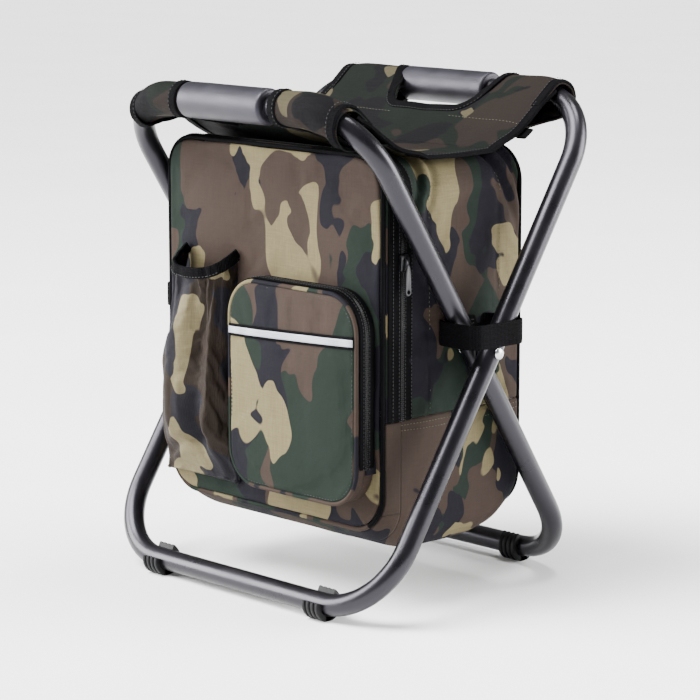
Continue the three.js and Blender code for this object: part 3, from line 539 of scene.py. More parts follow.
@dataclass(frozen=True)
class Drape:
    """A short cloth simulation: the sheet grows a little, is pushed out and finds its own slack folds."""

    growth: float = 0.02
    pressure: float = 0.4
    most: float = 0.003
    bending: float = 0.6
    frames: int = 14
    held: Callable[[Vector], bool] | None = None

    def settle(self, piece: bpy.types.Object) -> None:
        """Moves the mesh as the cloth moves, softly capped, with its rim held.

        Args:
            piece: The object, before it has any modifier.
        """
        mesh, scene = piece.data, bpy.context.scene
        places = [v.co.copy() for v in mesh.vertices]
        bm = bmesh.new()
        bm.from_mesh(mesh)
        pinned = [v.index for v in bm.verts if v.is_boundary or (self.held and self.held(v.co))]
        bm.free()
        group = piece.vertex_groups.new(name="held")
        group.add(pinned, 1.0, "REPLACE")
        cloth = piece.modifiers.new("cloth", "CLOTH")
        self.fill(cloth.settings, group.name)
        cloth.collision_settings.use_collision = False
        cloth.point_cache.frame_start, cloth.point_cache.frame_end = 1, self.frames
        for step in range(1, self.frames + 1):
            scene.frame_set(step)
        moved = piece.evaluated_get(bpy.context.evaluated_depsgraph_get()).data
        reached = [v.co.copy() for v in moved.vertices]
        piece.modifiers.remove(cloth)
        piece.vertex_groups.remove(group)
        scene.frame_set(1)
        for vert, place, after in zip(mesh.vertices, places, reached):
            way = after - place
            vert.co = place + way * (self.most / (self.most + way.length))

    def fill(self, settings: bpy.types.ClothSettings, group: str) -> None:
        """Writes the cloth's properties.

        Args:
            settings: The modifier's settings.
            group: The vertex group that stays where it is.
        """
        settings.vertex_group_mass = group
        settings.shrink_min = -self.growth
        settings.use_pressure = True
        settings.uniform_pressure_force = self.pressure
        settings.effector_weights.gravity = 0.0
        settings.quality = 4
        settings.mass = 0.2
        settings.air_damping = 3.0
        settings.tension_stiffness = settings.compression_stiffness = 14.0
        settings.bending_stiffness = self.bending


@dataclass(frozen=True)
class Crumple:
    """Soft uneven dents of cloth, from noise that is stretched along the folds."""

    seed: float
    depth: float
    fineness: Triple = (28.0, 28.0, 12.0)

    def at(self, point: Vector) -> float:
        """Height of the cloth at a point, above its smooth shape.

        Args:
            point: The place on the smooth shape.

        Returns:
            The height.
        """
        spot = Vector([c * f for c, f in zip(point, self.fineness)]) + Vector((self.seed, 0, 0))
        broad, fine = noise.noise(spot), noise.noise(spot * 2.3 + Vector((5, 3, 1)))
        return self.depth * (0.72 * broad + 0.28 * fine)


def edges_of(verts: list) -> list:
    """All edges at some vertices, in a fixed order."""
    return list(dict.fromkeys(edge for vert in verts for edge in vert.link_edges))


class Form:
    """A mesh in the making, with the operations that this object's pieces share."""

    def __init__(self) -> None:
        """Starts with an empty mesh."""
        self.bm = bmesh.new()

    def sheet(self, columns: int, rows: int, place: Place) -> "Form":
        """Adds a grid and moves its points.

        Args:
            columns: Faces along the first share.
            rows: Faces along the second share.
            place: Gives the point for two shares from 0 to 1.

        Returns:
            The form.
        """
        for vert in bmesh.ops.create_grid(self.bm, x_segments=columns, y_segments=rows, size=0.5)["verts"]:
            vert.co = place(vert.co.x + 0.5, vert.co.y + 0.5)
        return self

    def extruded(self, edges: list, matrix: Matrix) -> list:
        """Extrudes edges and moves the new ones.

        Args:
            edges: The edges to extrude.
            matrix: The move from the old ones to the new ones.

        Returns:
            The new edges.
        """
        made = bmesh.ops.extrude_edge_only(self.bm, edges=edges)["geom"]
        verts = [g for g in made if isinstance(g, bmesh.types.BMVert)]
        fresh = set(verts)
        bmesh.ops.transform(self.bm, matrix=matrix, verts=verts)
        return [g for g in made if isinstance(g, bmesh.types.BMEdge) and fresh.issuperset(g.verts)]

    def ring(self, section: Section, station: Matrix) -> list:
        """Adds a closed section at a station.

        Args:
            section: The outline.
            station: Its place.

        Returns:
            Its edges.
        """
        verts = bmesh.ops.create_circle(self.bm, segments=section.sides, radius=1.0)["verts"]
        for vert in verts:
            vert.co = section.point(vert.co)
        bmesh.ops.transform(self.bm, matrix=station, verts=verts)
        return edges_of(verts)

    def sweep(self, rail: Rail, section: Section, swell: Callable[[float], float] | None = None) -> "Form":
        """Draws a section along a rail and closes its ends.

        Args:
            rail: The path.
            section: The outline across it.
            swell: Scale of the section at each share of the rail, or None.

        Returns:
            The form.
        """
        stations = rail.stations()
        if swell:
            scales = [swell(i / (len(stations) - 1)) for i in range(len(stations))]
            stations = [at @ Matrix.Diagonal((scale, scale, 1, 1)) for at, scale in zip(stations, scales)]
        edges = first = self.ring(section, stations[0])
        targets = stations[1:] + (stations[:1] if rail.closed else [])
        for before, after in zip(stations, targets):
            edges = self.extruded(edges, after @ before.inverted())
        if not rail.closed:
            for end in (first, edges):
                bmesh.ops.edgeloop_fill(self.bm, edges=end)
        return self

    def lathe(self, profile: Sequence[Pair], steps: int, matrix: Matrix,
              degrees: float = 360.0) -> "Form":
        """Turns a profile of (along, radius) about the X axis.

        Args:
            profile: The outline, from end to end.
            steps: Faces round the turn.
            matrix: The place of the finished shape.
            degrees: How far it turns.

        Returns:
            The form.
        """
        verts = [self.bm.verts.new(matrix @ Vector((along, radius, 0))) for along, radius in profile]
        edges = [self.bm.edges.new(pair) for pair in zip(verts, verts[1:])]
        axis = matrix.to_3x3() @ Vector((1, 0, 0))
        bmesh.ops.spin(self.bm, geom=verts + edges, cent=matrix.translation, axis=axis,
                       angle=math.radians(degrees), steps=steps, use_merge=degrees >= 360)
        return self

    def block(self, size: Sequence[float], station: Matrix, round_by: float) -> "Form":
        """Adds a box with rounded edges.

        Args:
            size: Its three sides.
            station: The place of its centre.
            round_by: Width of the rounding.

        Returns:
            The form.
        """
        place = station @ Matrix.Diagonal((*size, 1))
        verts = bmesh.ops.create_cube(self.bm, size=1.0, matrix=place)["verts"]
        bmesh.ops.bevel(self.bm, geom=edges_of(verts), offset=round_by, segments=3, affect="EDGES",
                        profile=0.5, material=-1)
        return self

    def beads(self, stations: Iterable[Matrix], size: Sequence[float]) -> "Form":
        """Adds a small rounded bead at each station, for stitches and coil turns.

        Args:
            stations: Their places.
            size: Half their length across, outward and along.

        Returns:
            The form.
        """
        for station in stations:
            bmesh.ops.create_icosphere(self.bm, subdivisions=1, radius=1.0,
                                       matrix=station @ Matrix.Diagonal((*size, 1)))
        return self

    def stitches(self, rail: Rail, pitch: float = 0.0034, girth: float = 0.00034) -> "Form":
        """Adds a row of stitches along a seam, by their pitch and half a thread's thickness."""
        return self.beads(rail.even(pitch).stations(), (girth, girth, 0.0011))

    def coil(self, rail: Rail, side: int) -> "Form":
        """Adds one half of a zip's coil.

        Args:
            rail: The line where both halves meet.
            side: 1 or -1, the side that this half lies on.

        Returns:
            The form.
        """
        reach, pitch = 0.0013, 0.0016
        aside = Matrix.Translation((side * reach * 0.75, 0, 0 if side > 0 else pitch / 2))
        return self.beads((s @ aside for s in rail.even(pitch).stations()), (reach, 0.0009, pitch * 0.4))

    def pull(self, low: Vector, high: Vector, y: float) -> "Form":
        """Adds a zip's pull: a tapered plate with a round hole at its lower end.

        Args:
            low: Lowest corner of its box.
            high: Highest corner of its box.
            y: Its middle line.

        Returns:
            The form.
        """
        thickness, width, length = high - low
        half, limit = width / 2, width * 0.36
        hole, rim = (bmesh.ops.create_circle(self.bm, segments=24, radius=radius)["verts"]
                     for radius in (width * 0.3, half))
        for vert in (v for v in rim if v.co.y > 0):
            share = vert.co.y / half
            vert.co.y = share ** 0.25 * (length - half)
            vert.co.x *= mix(1.0, 0.62, share) if share < 1 else 1
            vert.co.x = clamp(vert.co.x, -limit, limit) if share > 0.4 else vert.co.x
        bmesh.ops.bridge_loops(self.bm, edges=edges_of(hole + rim))
        x, hub = (low.x + high.x) / 2, low.z + half
        plane = Matrix(((0, 0, 1, x), (1, 0, 0, y), (0, 1, 0, hub), (0, 0, 0, 1)))
        bmesh.ops.transform(self.bm, matrix=plane @ Matrix.Translation((0, 0, -thickness / 2)),
                            verts=hole + rim)
        faces = list(dict.fromkeys(f for v in hole for f in v.link_faces))
        made = bmesh.ops.extrude_face_region(self.bm, geom=faces, use_keep_orig=True)["geom"]
        lifted = [g for g in made if isinstance(g, bmesh.types.BMVert)]
        bmesh.ops.translate(self.bm, vec=(thickness, 0, 0), verts=lifted)
        bmesh.ops.recalc_face_normals(self.bm, faces=self.bm.faces)
        sharp = [e for e in self.bm.edges if e.is_manifold and e.calc_face_angle(0.0) > 1.2]
        bmesh.ops.bevel(self.bm, geom=sharp, offset=thickness * 0.22, segments=2, affect="EDGES",
                        profile=0.5, material=-1)
        return self

    def face_away(self, core: Vector | None) -> None:
        """Turns an open sheet's faces away from a point behind it.

        Args:
            core: The point, or None for the middle of the mesh.
        """
        if not any(edge.is_boundary for edge in self.bm.edges):
            return
        if core is None:
            core = sum((v.co for v in self.bm.verts), Vector()) / len(self.bm.verts)
        lean = sum(f.calc_area() * f.normal.dot(f.calc_center_median() - core) for f in self.bm.faces)
        if lean < 0:
            bmesh.ops.reverse_faces(self.bm, faces=self.bm.faces)

    def piece(self, name: str, finish: Finish, body: str | None, *replaces: str, wall: float = 0.0,
              levels: int = 0, sharp: float = 38.0, core: Vector | None = None,
              drape: Drape | None = None, fill: float = 0.0) -> bpy.types.Object:
        """Writes the mesh into an object of the scene.

        Args:
            name: The piece's name.
            finish: Its surface.
            body: The CAD body that it rides on, or None to leave it unattached.
            replaces: The CAD nodes that it stands for.
            wall: Thickness that is added inwards, or 0.
            levels: Subdivision levels.
            sharp: The angle past which an edge stays sharp, in degrees.
            core: A point behind an open sheet, or None for a band or tube.
            drape: The simulation that gives it folds, or None.
            fill: How full its padding is, or 0 without padding. Not used.

        Returns:
            The new object.
        """
        bmesh.ops.remove_doubles(self.bm, verts=self.bm.verts, dist=MERGE)
        bmesh.ops.recalc_face_normals(self.bm, faces=self.bm.faces)
        self.face_away(core)
        mesh = bpy.data.meshes.new(name)
        self.bm.to_mesh(mesh)
        self.bm.free()
        for polygon in mesh.polygons:
            polygon.use_smooth = True
        mesh.set_sharp_from_angle(angle=math.radians(sharp))
        mesh.materials.append(finish.material())
        piece = bpy.data.objects.new(name, mesh)
        bpy.context.scene.collection.objects.link(piece)
        if drape:
            drape.settle(piece)
        if wall:
            solid = piece.modifiers.new("wall", "SOLIDIFY")
            solid.thickness, solid.offset = wall, -1.0
        if levels:
            smooth = piece.modifiers.new("smooth", "SUBSURF")
            smooth.levels = smooth.render_levels = levels
        if body:
            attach(piece, body)
        if replaces:
            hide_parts(*replaces)
        log.info("%s: %d faces", name, len(mesh.polygons))
        return piece


@dataclass(frozen=True)
class TubeFrame:
    """One closed loop of bent tube that turns about the rivets."""

    name: str
    body: str
    half_width: float
    lean: float
    radius: float = 0.009
    bend: float = 0.061
    half_length: float = 0.233
    pivot: float = 0.209137
    sides: int = 40
    bend_steps: int = 16

    def placed(self) -> Matrix:
        """From the loop's own plane to its place."""
        return Matrix.Translation((0, 0, self.pivot)) @ Matrix.Rotation(self.lean, 4, "X")

    def bar(self, x: float, top: bool = True) -> Vector:
        """The tube's axis on its upper or lower bar, bends included.

        Args:
            x: The place across.
            top: Whether it is the upper bar.

        Returns:
            The point.
        """
        into = max(abs(x) - (self.half_width - self.bend), 0.0)
        drop = self.bend - math.sqrt(max(self.bend ** 2 - into ** 2, 0.0))
        height = self.half_length - drop
        return self.placed() @ Vector((x, 0, height if top else -height))

    def build(self) -> None:
        """Draws a ring up, round each bend and back to its start."""
        form = Form()
        section = Section(2 * self.radius, 2 * self.radius, sides=self.sides)
        edges = form.ring(section, Matrix.Translation((self.half_width, 0, 0)))
        spot, travel, inward = Vector((self.half_width, 0, 0)), Vector((0, 0, 1)), Vector((-1, 0, 0))
        upright, level = self.half_length - self.bend, 2 * (self.half_width - self.bend)
        for run in (upright, level, 2 * upright, level):
            edges = form.extruded(edges, Matrix.Translation(travel * run))
            centre = spot + travel * run + inward * self.bend
            made = bmesh.ops.spin(form.bm, geom=edges, cent=centre, axis=travel.cross(inward),
                                  angle=math.pi / 2, steps=self.bend_steps)["geom_last"]
            edges = [g for g in made if isinstance(g, bmesh.types.BMEdge)]
            spot = centre + travel * self.bend
            travel, inward = inward, -travel
        form.extruded(edges, Matrix.Translation(travel * upright))
        bmesh.ops.transform(form.bm, matrix=self.placed(), verts=form.bm.verts)
        form.piece(self.name, POWDER, self.body, f"{self.name}_tube")


@dataclass(frozen=True)
class Legs:
    """Both frames, their rivets and the spacers between them."""

    inner: TubeFrame
    outer: TubeFrame
    shank: float = 0.003
    head: float = 0.0049
    rise: float = 0.0026
    tail_rise: float = 0.0013
    spacer: float = 0.008
    chamfer: float = 0.0004
    steps: int = 28

    def build(self) -> None:
        """Makes the tubes and what joins them."""
        self.inner.build()
        self.outer.build()
        for side in Side:
            turn = Matrix() if side is Side.RIGHT else Matrix.Rotation(math.pi, 4, "Z")
            at = self.outer.placed() @ turn
            Form().lathe(self.rivet(), self.steps, at).piece(
                f"rivet_{side.word}", STEEL, OUTER, f"pivot_rivet_{side.word}", sharp=50)
            Form().lathe(self.washer(), self.steps, at).piece(
                f"spacer_{side.word}", SPACER, OUTER, f"pivot_washer_{side.word}")

    def dome(self, face: float, rise: float) -> list[Pair]:
        """A low dome with a small rolled rim.

        Args:
            face: Where it sits, along the rivet.
            rise: Its height.

        Returns:
            Its outline, from its rim to its pole.
        """
        dome = [(face + rise * (0.22 + 0.78 * math.sin(a)), self.head * math.cos(a))
                for a in spread(0, math.pi / 2, 8)]
        return [(face, self.head * 0.93)] + dome

    def rivet(self) -> list[Pair]:
        """One rivet's outline: a rolled tail inside and a domed head outside.

        Returns:
            The points, from tail to head.
        """
        outer = self.outer.half_width + self.outer.radius + GAP
        inner = self.inner.half_width - self.inner.radius - GAP
        shank = [(inner, self.shank), (outer, self.shank)]
        return self.dome(inner, -self.tail_rise)[::-1] + shank + self.dome(outer, self.rise)

    def washer(self) -> list[Pair]:
        """The outline of a nylon spacer between the tubes.

        Returns:
            The points, in one turn.
        """
        start = self.inner.half_width + self.inner.radius + GAP
        end = self.outer.half_width - self.outer.radius - GAP
        bore, edge, cut = self.shank + GAP, self.spacer, self.chamfer
        return [(start, bore), (start, edge - cut), (start + cut, edge), (end - cut, edge), (end, edge - cut),
                (end, bore), (start, bore)]


@dataclass(frozen=True)
class Foot:
    """A ribbed clip on a bottom bar, with a flat pad under it."""

    frame: TubeFrame
    place: str
    side: Side
    from_leg: float
    length: float = 0.0184
    play: float = 0.00012
    wall: float = 0.0036
    ribs: int = 4
    rib_width: float = 0.0034
    rib_rise: float = 0.0011
    rib_rounds: Pair = (0.0003, 0.0009)
    stand_off: float = 0.004
    pad_width: float = 0.009
    pad_height: float = 0.005
    pad_round: float = 0.0006
    start: float = 166.0
    end: float = 422.0
    steps: int = 30

    def profile(self) -> list[Pair]:
        """The outline along the bar: a plain bore and rounded ribs outside.

        Returns:
            The points, in one turn.
        """
        half, bore = self.length / 2, self.frame.radius + self.play
        low, high = self.frame.radius + self.wall, self.frame.radius + self.wall + self.rib_rise
        pitch = (self.length - self.rib_width) / (self.ribs - 1)
        line, (cut, flat) = [(-half, bore)], self.rib_rounds
        for i in range(self.ribs):
            a = i * pitch - half
            b = a + self.rib_width
            line += [(a, low), (a + cut, high - cut), (a + flat, high),
                     (b - flat, high), (b - cut, high - cut), (b, low)]
        return line + [(half, bore), (-half, bore)]

    def build(self) -> None:
        """Turns the clip round its bar, closes its ends and adds the pad."""
        name = f"foot_{self.place}_{self.side.word}"
        spot = self.frame.bar(self.side.value * (self.frame.half_width - self.from_leg), top=False)
        facing = Matrix.Rotation(math.pi, 4, "Z") if self.place == "rear" else Matrix()
        seat = Matrix.Translation(spot) @ facing
        turned = seat @ Matrix.Rotation(math.radians(self.start), 4, "X")
        form = Form().lathe(self.profile(), self.steps, turned, self.end - self.start)
        bmesh.ops.holes_fill(form.bm, edges=[edge for edge in form.bm.edges if edge.is_boundary], sides=0)
        middle = -self.frame.radius - self.stand_off + self.pad_height / 2
        form.block((self.length, self.pad_width, self.pad_height), seat @ Matrix.Translation((0, 0, middle)),
                   self.pad_round)
        for vert in form.bm.verts:
            vert.co.z = max(vert.co.z, 0.0)
        form.piece(f"{name}_clip", MOULDED, self.frame.body, name, sharp=40)


@dataclass(frozen=True)
class Grip:
    """A foam tube pushed over the middle of a top bar."""

    name: str
    frame: TubeFrame
    centre: float
    radius: float = 0.0148
    length: float = 0.0995
    end_round: float = 0.0032
    play: float = 0.0001
    dents: Crumple = Crumple(3.0, 0.00045, (22.0, 40.0, 40.0))

    def build(self) -> None:
        """Turns the foam round the bar, with soft ends and slight dents."""
        half, bore, hub = self.length / 2, self.frame.radius + self.play, self.radius - self.end_round
        left = quarter(-half + self.end_round, hub, self.end_round, 90, 7)[::-1]
        right = [(-along, radius) for along, radius in left[::-1]]
        middle = [(along, self.radius) for along in spread(left[-1][0], right[0][0], 24)[1:-1]]
        profile = [(-half, bore)] + left + middle + right + [(half, bore), (-half, bore)]
        seat = Matrix.Translation(self.frame.bar(self.centre)) @ Matrix.Rotation(self.frame.lean, 4, "X")
        form = Form().lathe(profile, 48, seat)
        for vert in form.bm.verts:
            away = (vert.co - seat.translation) * Vector((0, 1, 1))
            if away.length > hub:
                vert.co += away.normalized() * self.dents.at(vert.co)
        form.piece(f"{self.name}_foam", GRIP_FOAM, self.frame.body, self.name, sharp=50)


@dataclass(frozen=True)
class Fold:
    """The taut cloth at one place across: from its seam over the bar and back to the seam."""

    reach: float
    height: float
    seam_reach: float
    seam_height: float
    radius: float

    @property
    def away(self) -> float:
        """Distance from the seam to the bar's axis."""
        return math.hypot(self.reach - self.seam_reach, self.height - self.seam_height)

    @property
    def lift(self) -> float:
        """Angle at which the bar's axis is seen from the seam."""
        return math.atan2(self.height - self.seam_height, self.reach - self.seam_reach)

    @property
    def climb(self) -> float:
        """Angle of the upper sheet."""
        return self.lift + math.asin(self.radius / self.away)

    def point(self, share: float, out: float) -> Pair:
        """A point of the outline.

        Args:
            share: From the seam at 0, over the bar and back to the seam at 1.
            out: Height above the outline.

        Returns:
            Its distance inward from the bar's axis, and its height above that axis.
        """
        turn = math.acos(self.radius / self.away)
        run = math.sqrt(self.away ** 2 - self.radius ** 2)
        arc = self.radius * (math.tau - 2 * turn)
        at = share * (2 * run + arc)
        angle = clamp(turn + (at - run) / self.radius, turn, math.tau - turn)
        spare = max(run - at, at - run - arc, 0.0)
        along = (self.radius + out) * math.cos(angle) + spare * math.sin(turn)
        above = (self.radius + out) * math.sin(angle) - math.copysign(spare * math.cos(turn), math.sin(angle))
        cosine, sine = math.cos(self.lift), math.sin(self.lift)
        return along * cosine + above * sine, above * cosine - along * sine


@dataclass(frozen=True)
class Cut:
    """One end of a sling's fold: where its hand hole and its outer edge lie across."""

    hole: float
    end: float
    slant: float
    close: float = 0.0150


CUTS = {(FRONT, Side.LEFT): Cut(-0.0575, -0.1240, 0.010, 0.0136),
        (FRONT, Side.RIGHT): Cut(0.053, 0.1235, -0.016, 0.0164),
        (REAR, Side.LEFT): Cut(-0.056, -0.127, 0.022), (REAR, Side.RIGHT): Cut(0.063, 0.1275, -0.016)}


@dataclass(frozen=True)
class Seat:
    """How the seat's cloth hangs between the bag's top and the top bars."""

    inner: TubeFrame
    outer: TubeFrame
    half_depth: float = 0.038
    edge: float = 0.3664
    seam_reach: float = 0.075
    seam_height: float = 0.3842
    follow: float = 0.35
    leave: float = 0.54
    meet: float = 0.70
    left_lift: float = 0.008
    lifted_from: Pair = (0.080, 0.120)
    bar_place: Pair = (0.112, 0.4100)
    hole_depth: float = 0.0388
    tape: float = 0.0085

    def frame(self, side: int) -> TubeFrame:
        """The frame whose bar carries a side's slope."""
        return self.inner if side < 0 else self.outer

    def fold(self, side: int, x: float, radius: float) -> Fold:
        """The fold round a bar.

        Args:
            side: FRONT or REAR.
            x: The place across.
            radius: How far the cloth lies from the bar's axis.

        Returns:
            The fold.
        """
        bar, level = self.frame(side).bar(x), self.frame(side).bar(0)
        seam = self.seam_height - self.follow * (level.z - bar.z)
        if side < 0:
            seam += self.left_lift * ease(-x, *self.lifted_from)
        return Fold(abs(bar.y), bar.z, self.seam_reach, seam, radius)

    def height(self, fold: Fold, reach: float) -> float:
        """Height of the upper sheet.

        Args:
            fold: The fold that it leads to.
            reach: The distance from the middle of the seat.

        Returns:
            The height: a smooth curve up to the seam, then straight to the bar.
        """
        if reach >= fold.seam_reach:
            return fold.seam_height + (reach - fold.seam_reach) * math.tan(fold.climb)
        span = fold.seam_reach - self.half_depth
        t = (reach - self.half_depth) / span
        ends = (2 * t ** 3 - 3 * t ** 2 + 1) * self.edge + (3 * t ** 2 - 2 * t ** 3) * fold.seam_height
        return ends + span * ((t ** 3 - 2 * t ** 2 + t) * self.leave + (t ** 3 - t ** 2) * self.meet)

    def join(self, piece: bpy.types.Object, side: int) -> None:
        """Bakes a piece's place into its mesh.

        Args:
            piece: The piece.
            side: FRONT or REAR. Not used.
        """
        reach, height = self.bar_place
        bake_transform(piece)


@dataclass(frozen=True)
class Sleeve:
    """The cloth folded round a top bar, from the hand hole to the outer edge, bound at both ends."""

    seat: Seat
    side: int
    cut: Cut
    name: str
    mouth: float = 0.0138
    sink: float = 0.0016
    cloth: float = 0.0013
    hem: float = 0.0028
    wrap: float = 1.01

    def skin(self, share: float, around: float, out: float = 0.0) -> Vector:
        """A point of the cloth.

        Args:
            share: From its mouth at 0 to its outer end at 1.
            around: Share of the outline, from the seam over the bar to the seam.
            out: Height above the cloth.

        Returns:
            The point.
        """
        x = mix(self.cut.hole, self.cut.end, share)
        fold = self.seat.fold(self.side, x, mix(self.mouth, self.cut.close, share))
        spot = Vector((x * 24, around * 7 + self.side, share))
        slack = (0.0010 * noise.noise(spot) + 0.0005 * noise.noise(spot * 2.7)) * ease(around, 0.35, 0.5)
        inward, above = fold.point(around, out + slack)
        sunk = self.sink * ease(inward, 0.010, 0.040)
        x += self.cut.slant * clamp(inward / self.seat.hole_depth) * (1 - share)
        return Vector((x, self.side * (fold.reach - inward), fold.height + above - sunk))

    def ring(self, share: float, out: float) -> Rail:
        """The line round the cloth at a share of its length."""
        return Rail.over(self.skin, [(share, around) for around in spread(0.16, 0.97, 72)], out)

    def build(self) -> None:
        """Makes the cloth, its two bindings and their stitches."""
        piece = Form().sheet(90, 30, lambda u, v: self.skin(v, u)).piece(
            f"{self.name}_cloth", SHADED_SLING_PRINT, None, self.name, wall=self.cloth)
        length = abs(self.cut.end - self.cut.hole)
        self.seat.frame(self.side).name
        self.seat.join(piece, self.side)
        inset, inward = self.seat.tape / 2 / length, self.hem / length
        for end, share, sewn in (("mouth", inset, inset + inward), ("end", 1 - inset, 1 - inset - inward)):
            tape = Form().sweep(self.ring(share, 0.0002), Section(self.seat.tape, 0.0026, 5.0, 14))
            self.seat.join(tape.piece(f"{self.name}_{end}_binding", BINDING, None), self.side)
            thread = Form().stitches(self.ring(sewn, 0.0016))
            self.seat.join(thread.piece(f"{self.name}_{end}_stitches", DARK_THREAD, None), self.side)


@dataclass(frozen=True)
class BagShape:
    """The bag's outline at every depth."""

    half_width: float
    front: float
    rear: float
    highest: float
    seam: float
    front_bottom: float = 0.065
    bottom_sag: float = 0.022
    seat_dip: float = 0.0082
    seat_reach: float = 0.038
    top_round: float = 0.030
    bottom_round: float = 0.034
    top_shares: Pair = (0.277, 0.071)
    bottom_shares: Pair = (0.16, 0.12)

    @classmethod
    def from_frame(cls) -> "BagShape":
        """Reads the driving places from the CAD pieces.

        Returns:
            The outline.
        """
        hoop_low, hoop_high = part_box("bag_hoop")
        flap_low, flap_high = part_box("flap_hoop")
        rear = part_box("bag_back_panel")[0].y + 0.004
        return cls(hoop_high.x, flap_low.y, rear, flap_high.z, hoop_low.z - HALF_GAP)

    def top(self, y: float) -> float:
        """Height of the top at a depth. It dips under the seat."""
        beyond = max(abs(y) - self.seat_reach, 0.0) / (abs(self.front) - self.seat_reach)
        return self.highest - self.seat_dip * (1 - min(beyond, 1.0))

    def bottom(self, y: float) -> float:
        """Height of the bottom at a depth. It sags in the middle."""
        share = min(abs(y - (self.front + self.rear) / 2) / ((self.rear - self.front) / 2), 1.0)
        return self.front_bottom - self.bottom_sag * (1 - share ** 3)

    def spot(self, y: float, share: float, rise: int, out: float = 0.0) -> Vector:
        """A point of the outline.

        Args:
            y: The depth.
            share: From the seam on the right, round to the seam on the left.
            rise: ABOVE or BELOW the seam.
            out: Height above the outline.

        Returns:
            The point.
        """
        side, corner = self.top_shares if rise > 0 else self.bottom_shares
        radius, edge = (self.top_round, self.top(y)) if rise > 0 else (self.bottom_round, self.bottom(y))
        hub_x, hub_z = self.half_width - radius, edge - rise * radius
        near = min(share, 1 - share)
        if near < side:
            x, z = self.half_width + out, mix(self.seam, hub_z, near / side)
        elif near < side + corner:
            angle = (near - side) / corner * math.pi / 2
            x = hub_x + (radius + out) * math.cos(angle)
            z = hub_z + rise * (radius + out) * math.sin(angle)
        else:
            x = mix(hub_x, 0, (near - side - corner) / (0.5 - side - corner))
            z = edge + rise * out
        return Vector((x if share < 0.5 else -x, y, z))

    def over(self, y: float, out: float) -> Rail:
        """The outline over the top at a depth and a height above it, as a rail."""
        spots = [(y, share, ABOVE) for share in spread(0, 1, 160)]
        return Rail.over(self.spot, spots, out)

    def loop(self, y: float, inset: float) -> list[Vector]:
        """The whole outline at a depth, drawn in by an inset."""
        above = [self.spot(y, share, ABOVE, -inset) for share in spread(0, 1, 150)[:-1]]
        return above + [self.spot(y, 1 - share, BELOW, -inset) for share in spread(0, 1, 110)[:-1]]

    def panel(self, y: float, inset: float, u: float, v: float) -> Pair:
        """The (x, z) of a grid point inside the outline.

        Args:
            y: The depth.
            inset: How far the outline is drawn in.
            u: Share across.
            v: Share up.

        Returns:
            The point.
        """
        side = self.half_width - inset
        box = (-side, side, self.bottom(y) + inset, self.top(y) - inset)
        return rounded_spot(u, v, box, self.bottom_round - inset, self.top_round - inset)

    def gusset_share(self, y: float, height: float) -> float:
        """Share of the lower outline at which a height is reached."""
        sine = clamp((self.bottom(y) + self.bottom_round - height) / self.bottom_round)
        return self.bottom_shares[0] + self.bottom_shares[1] * math.asin(sine) / (math.pi / 2)


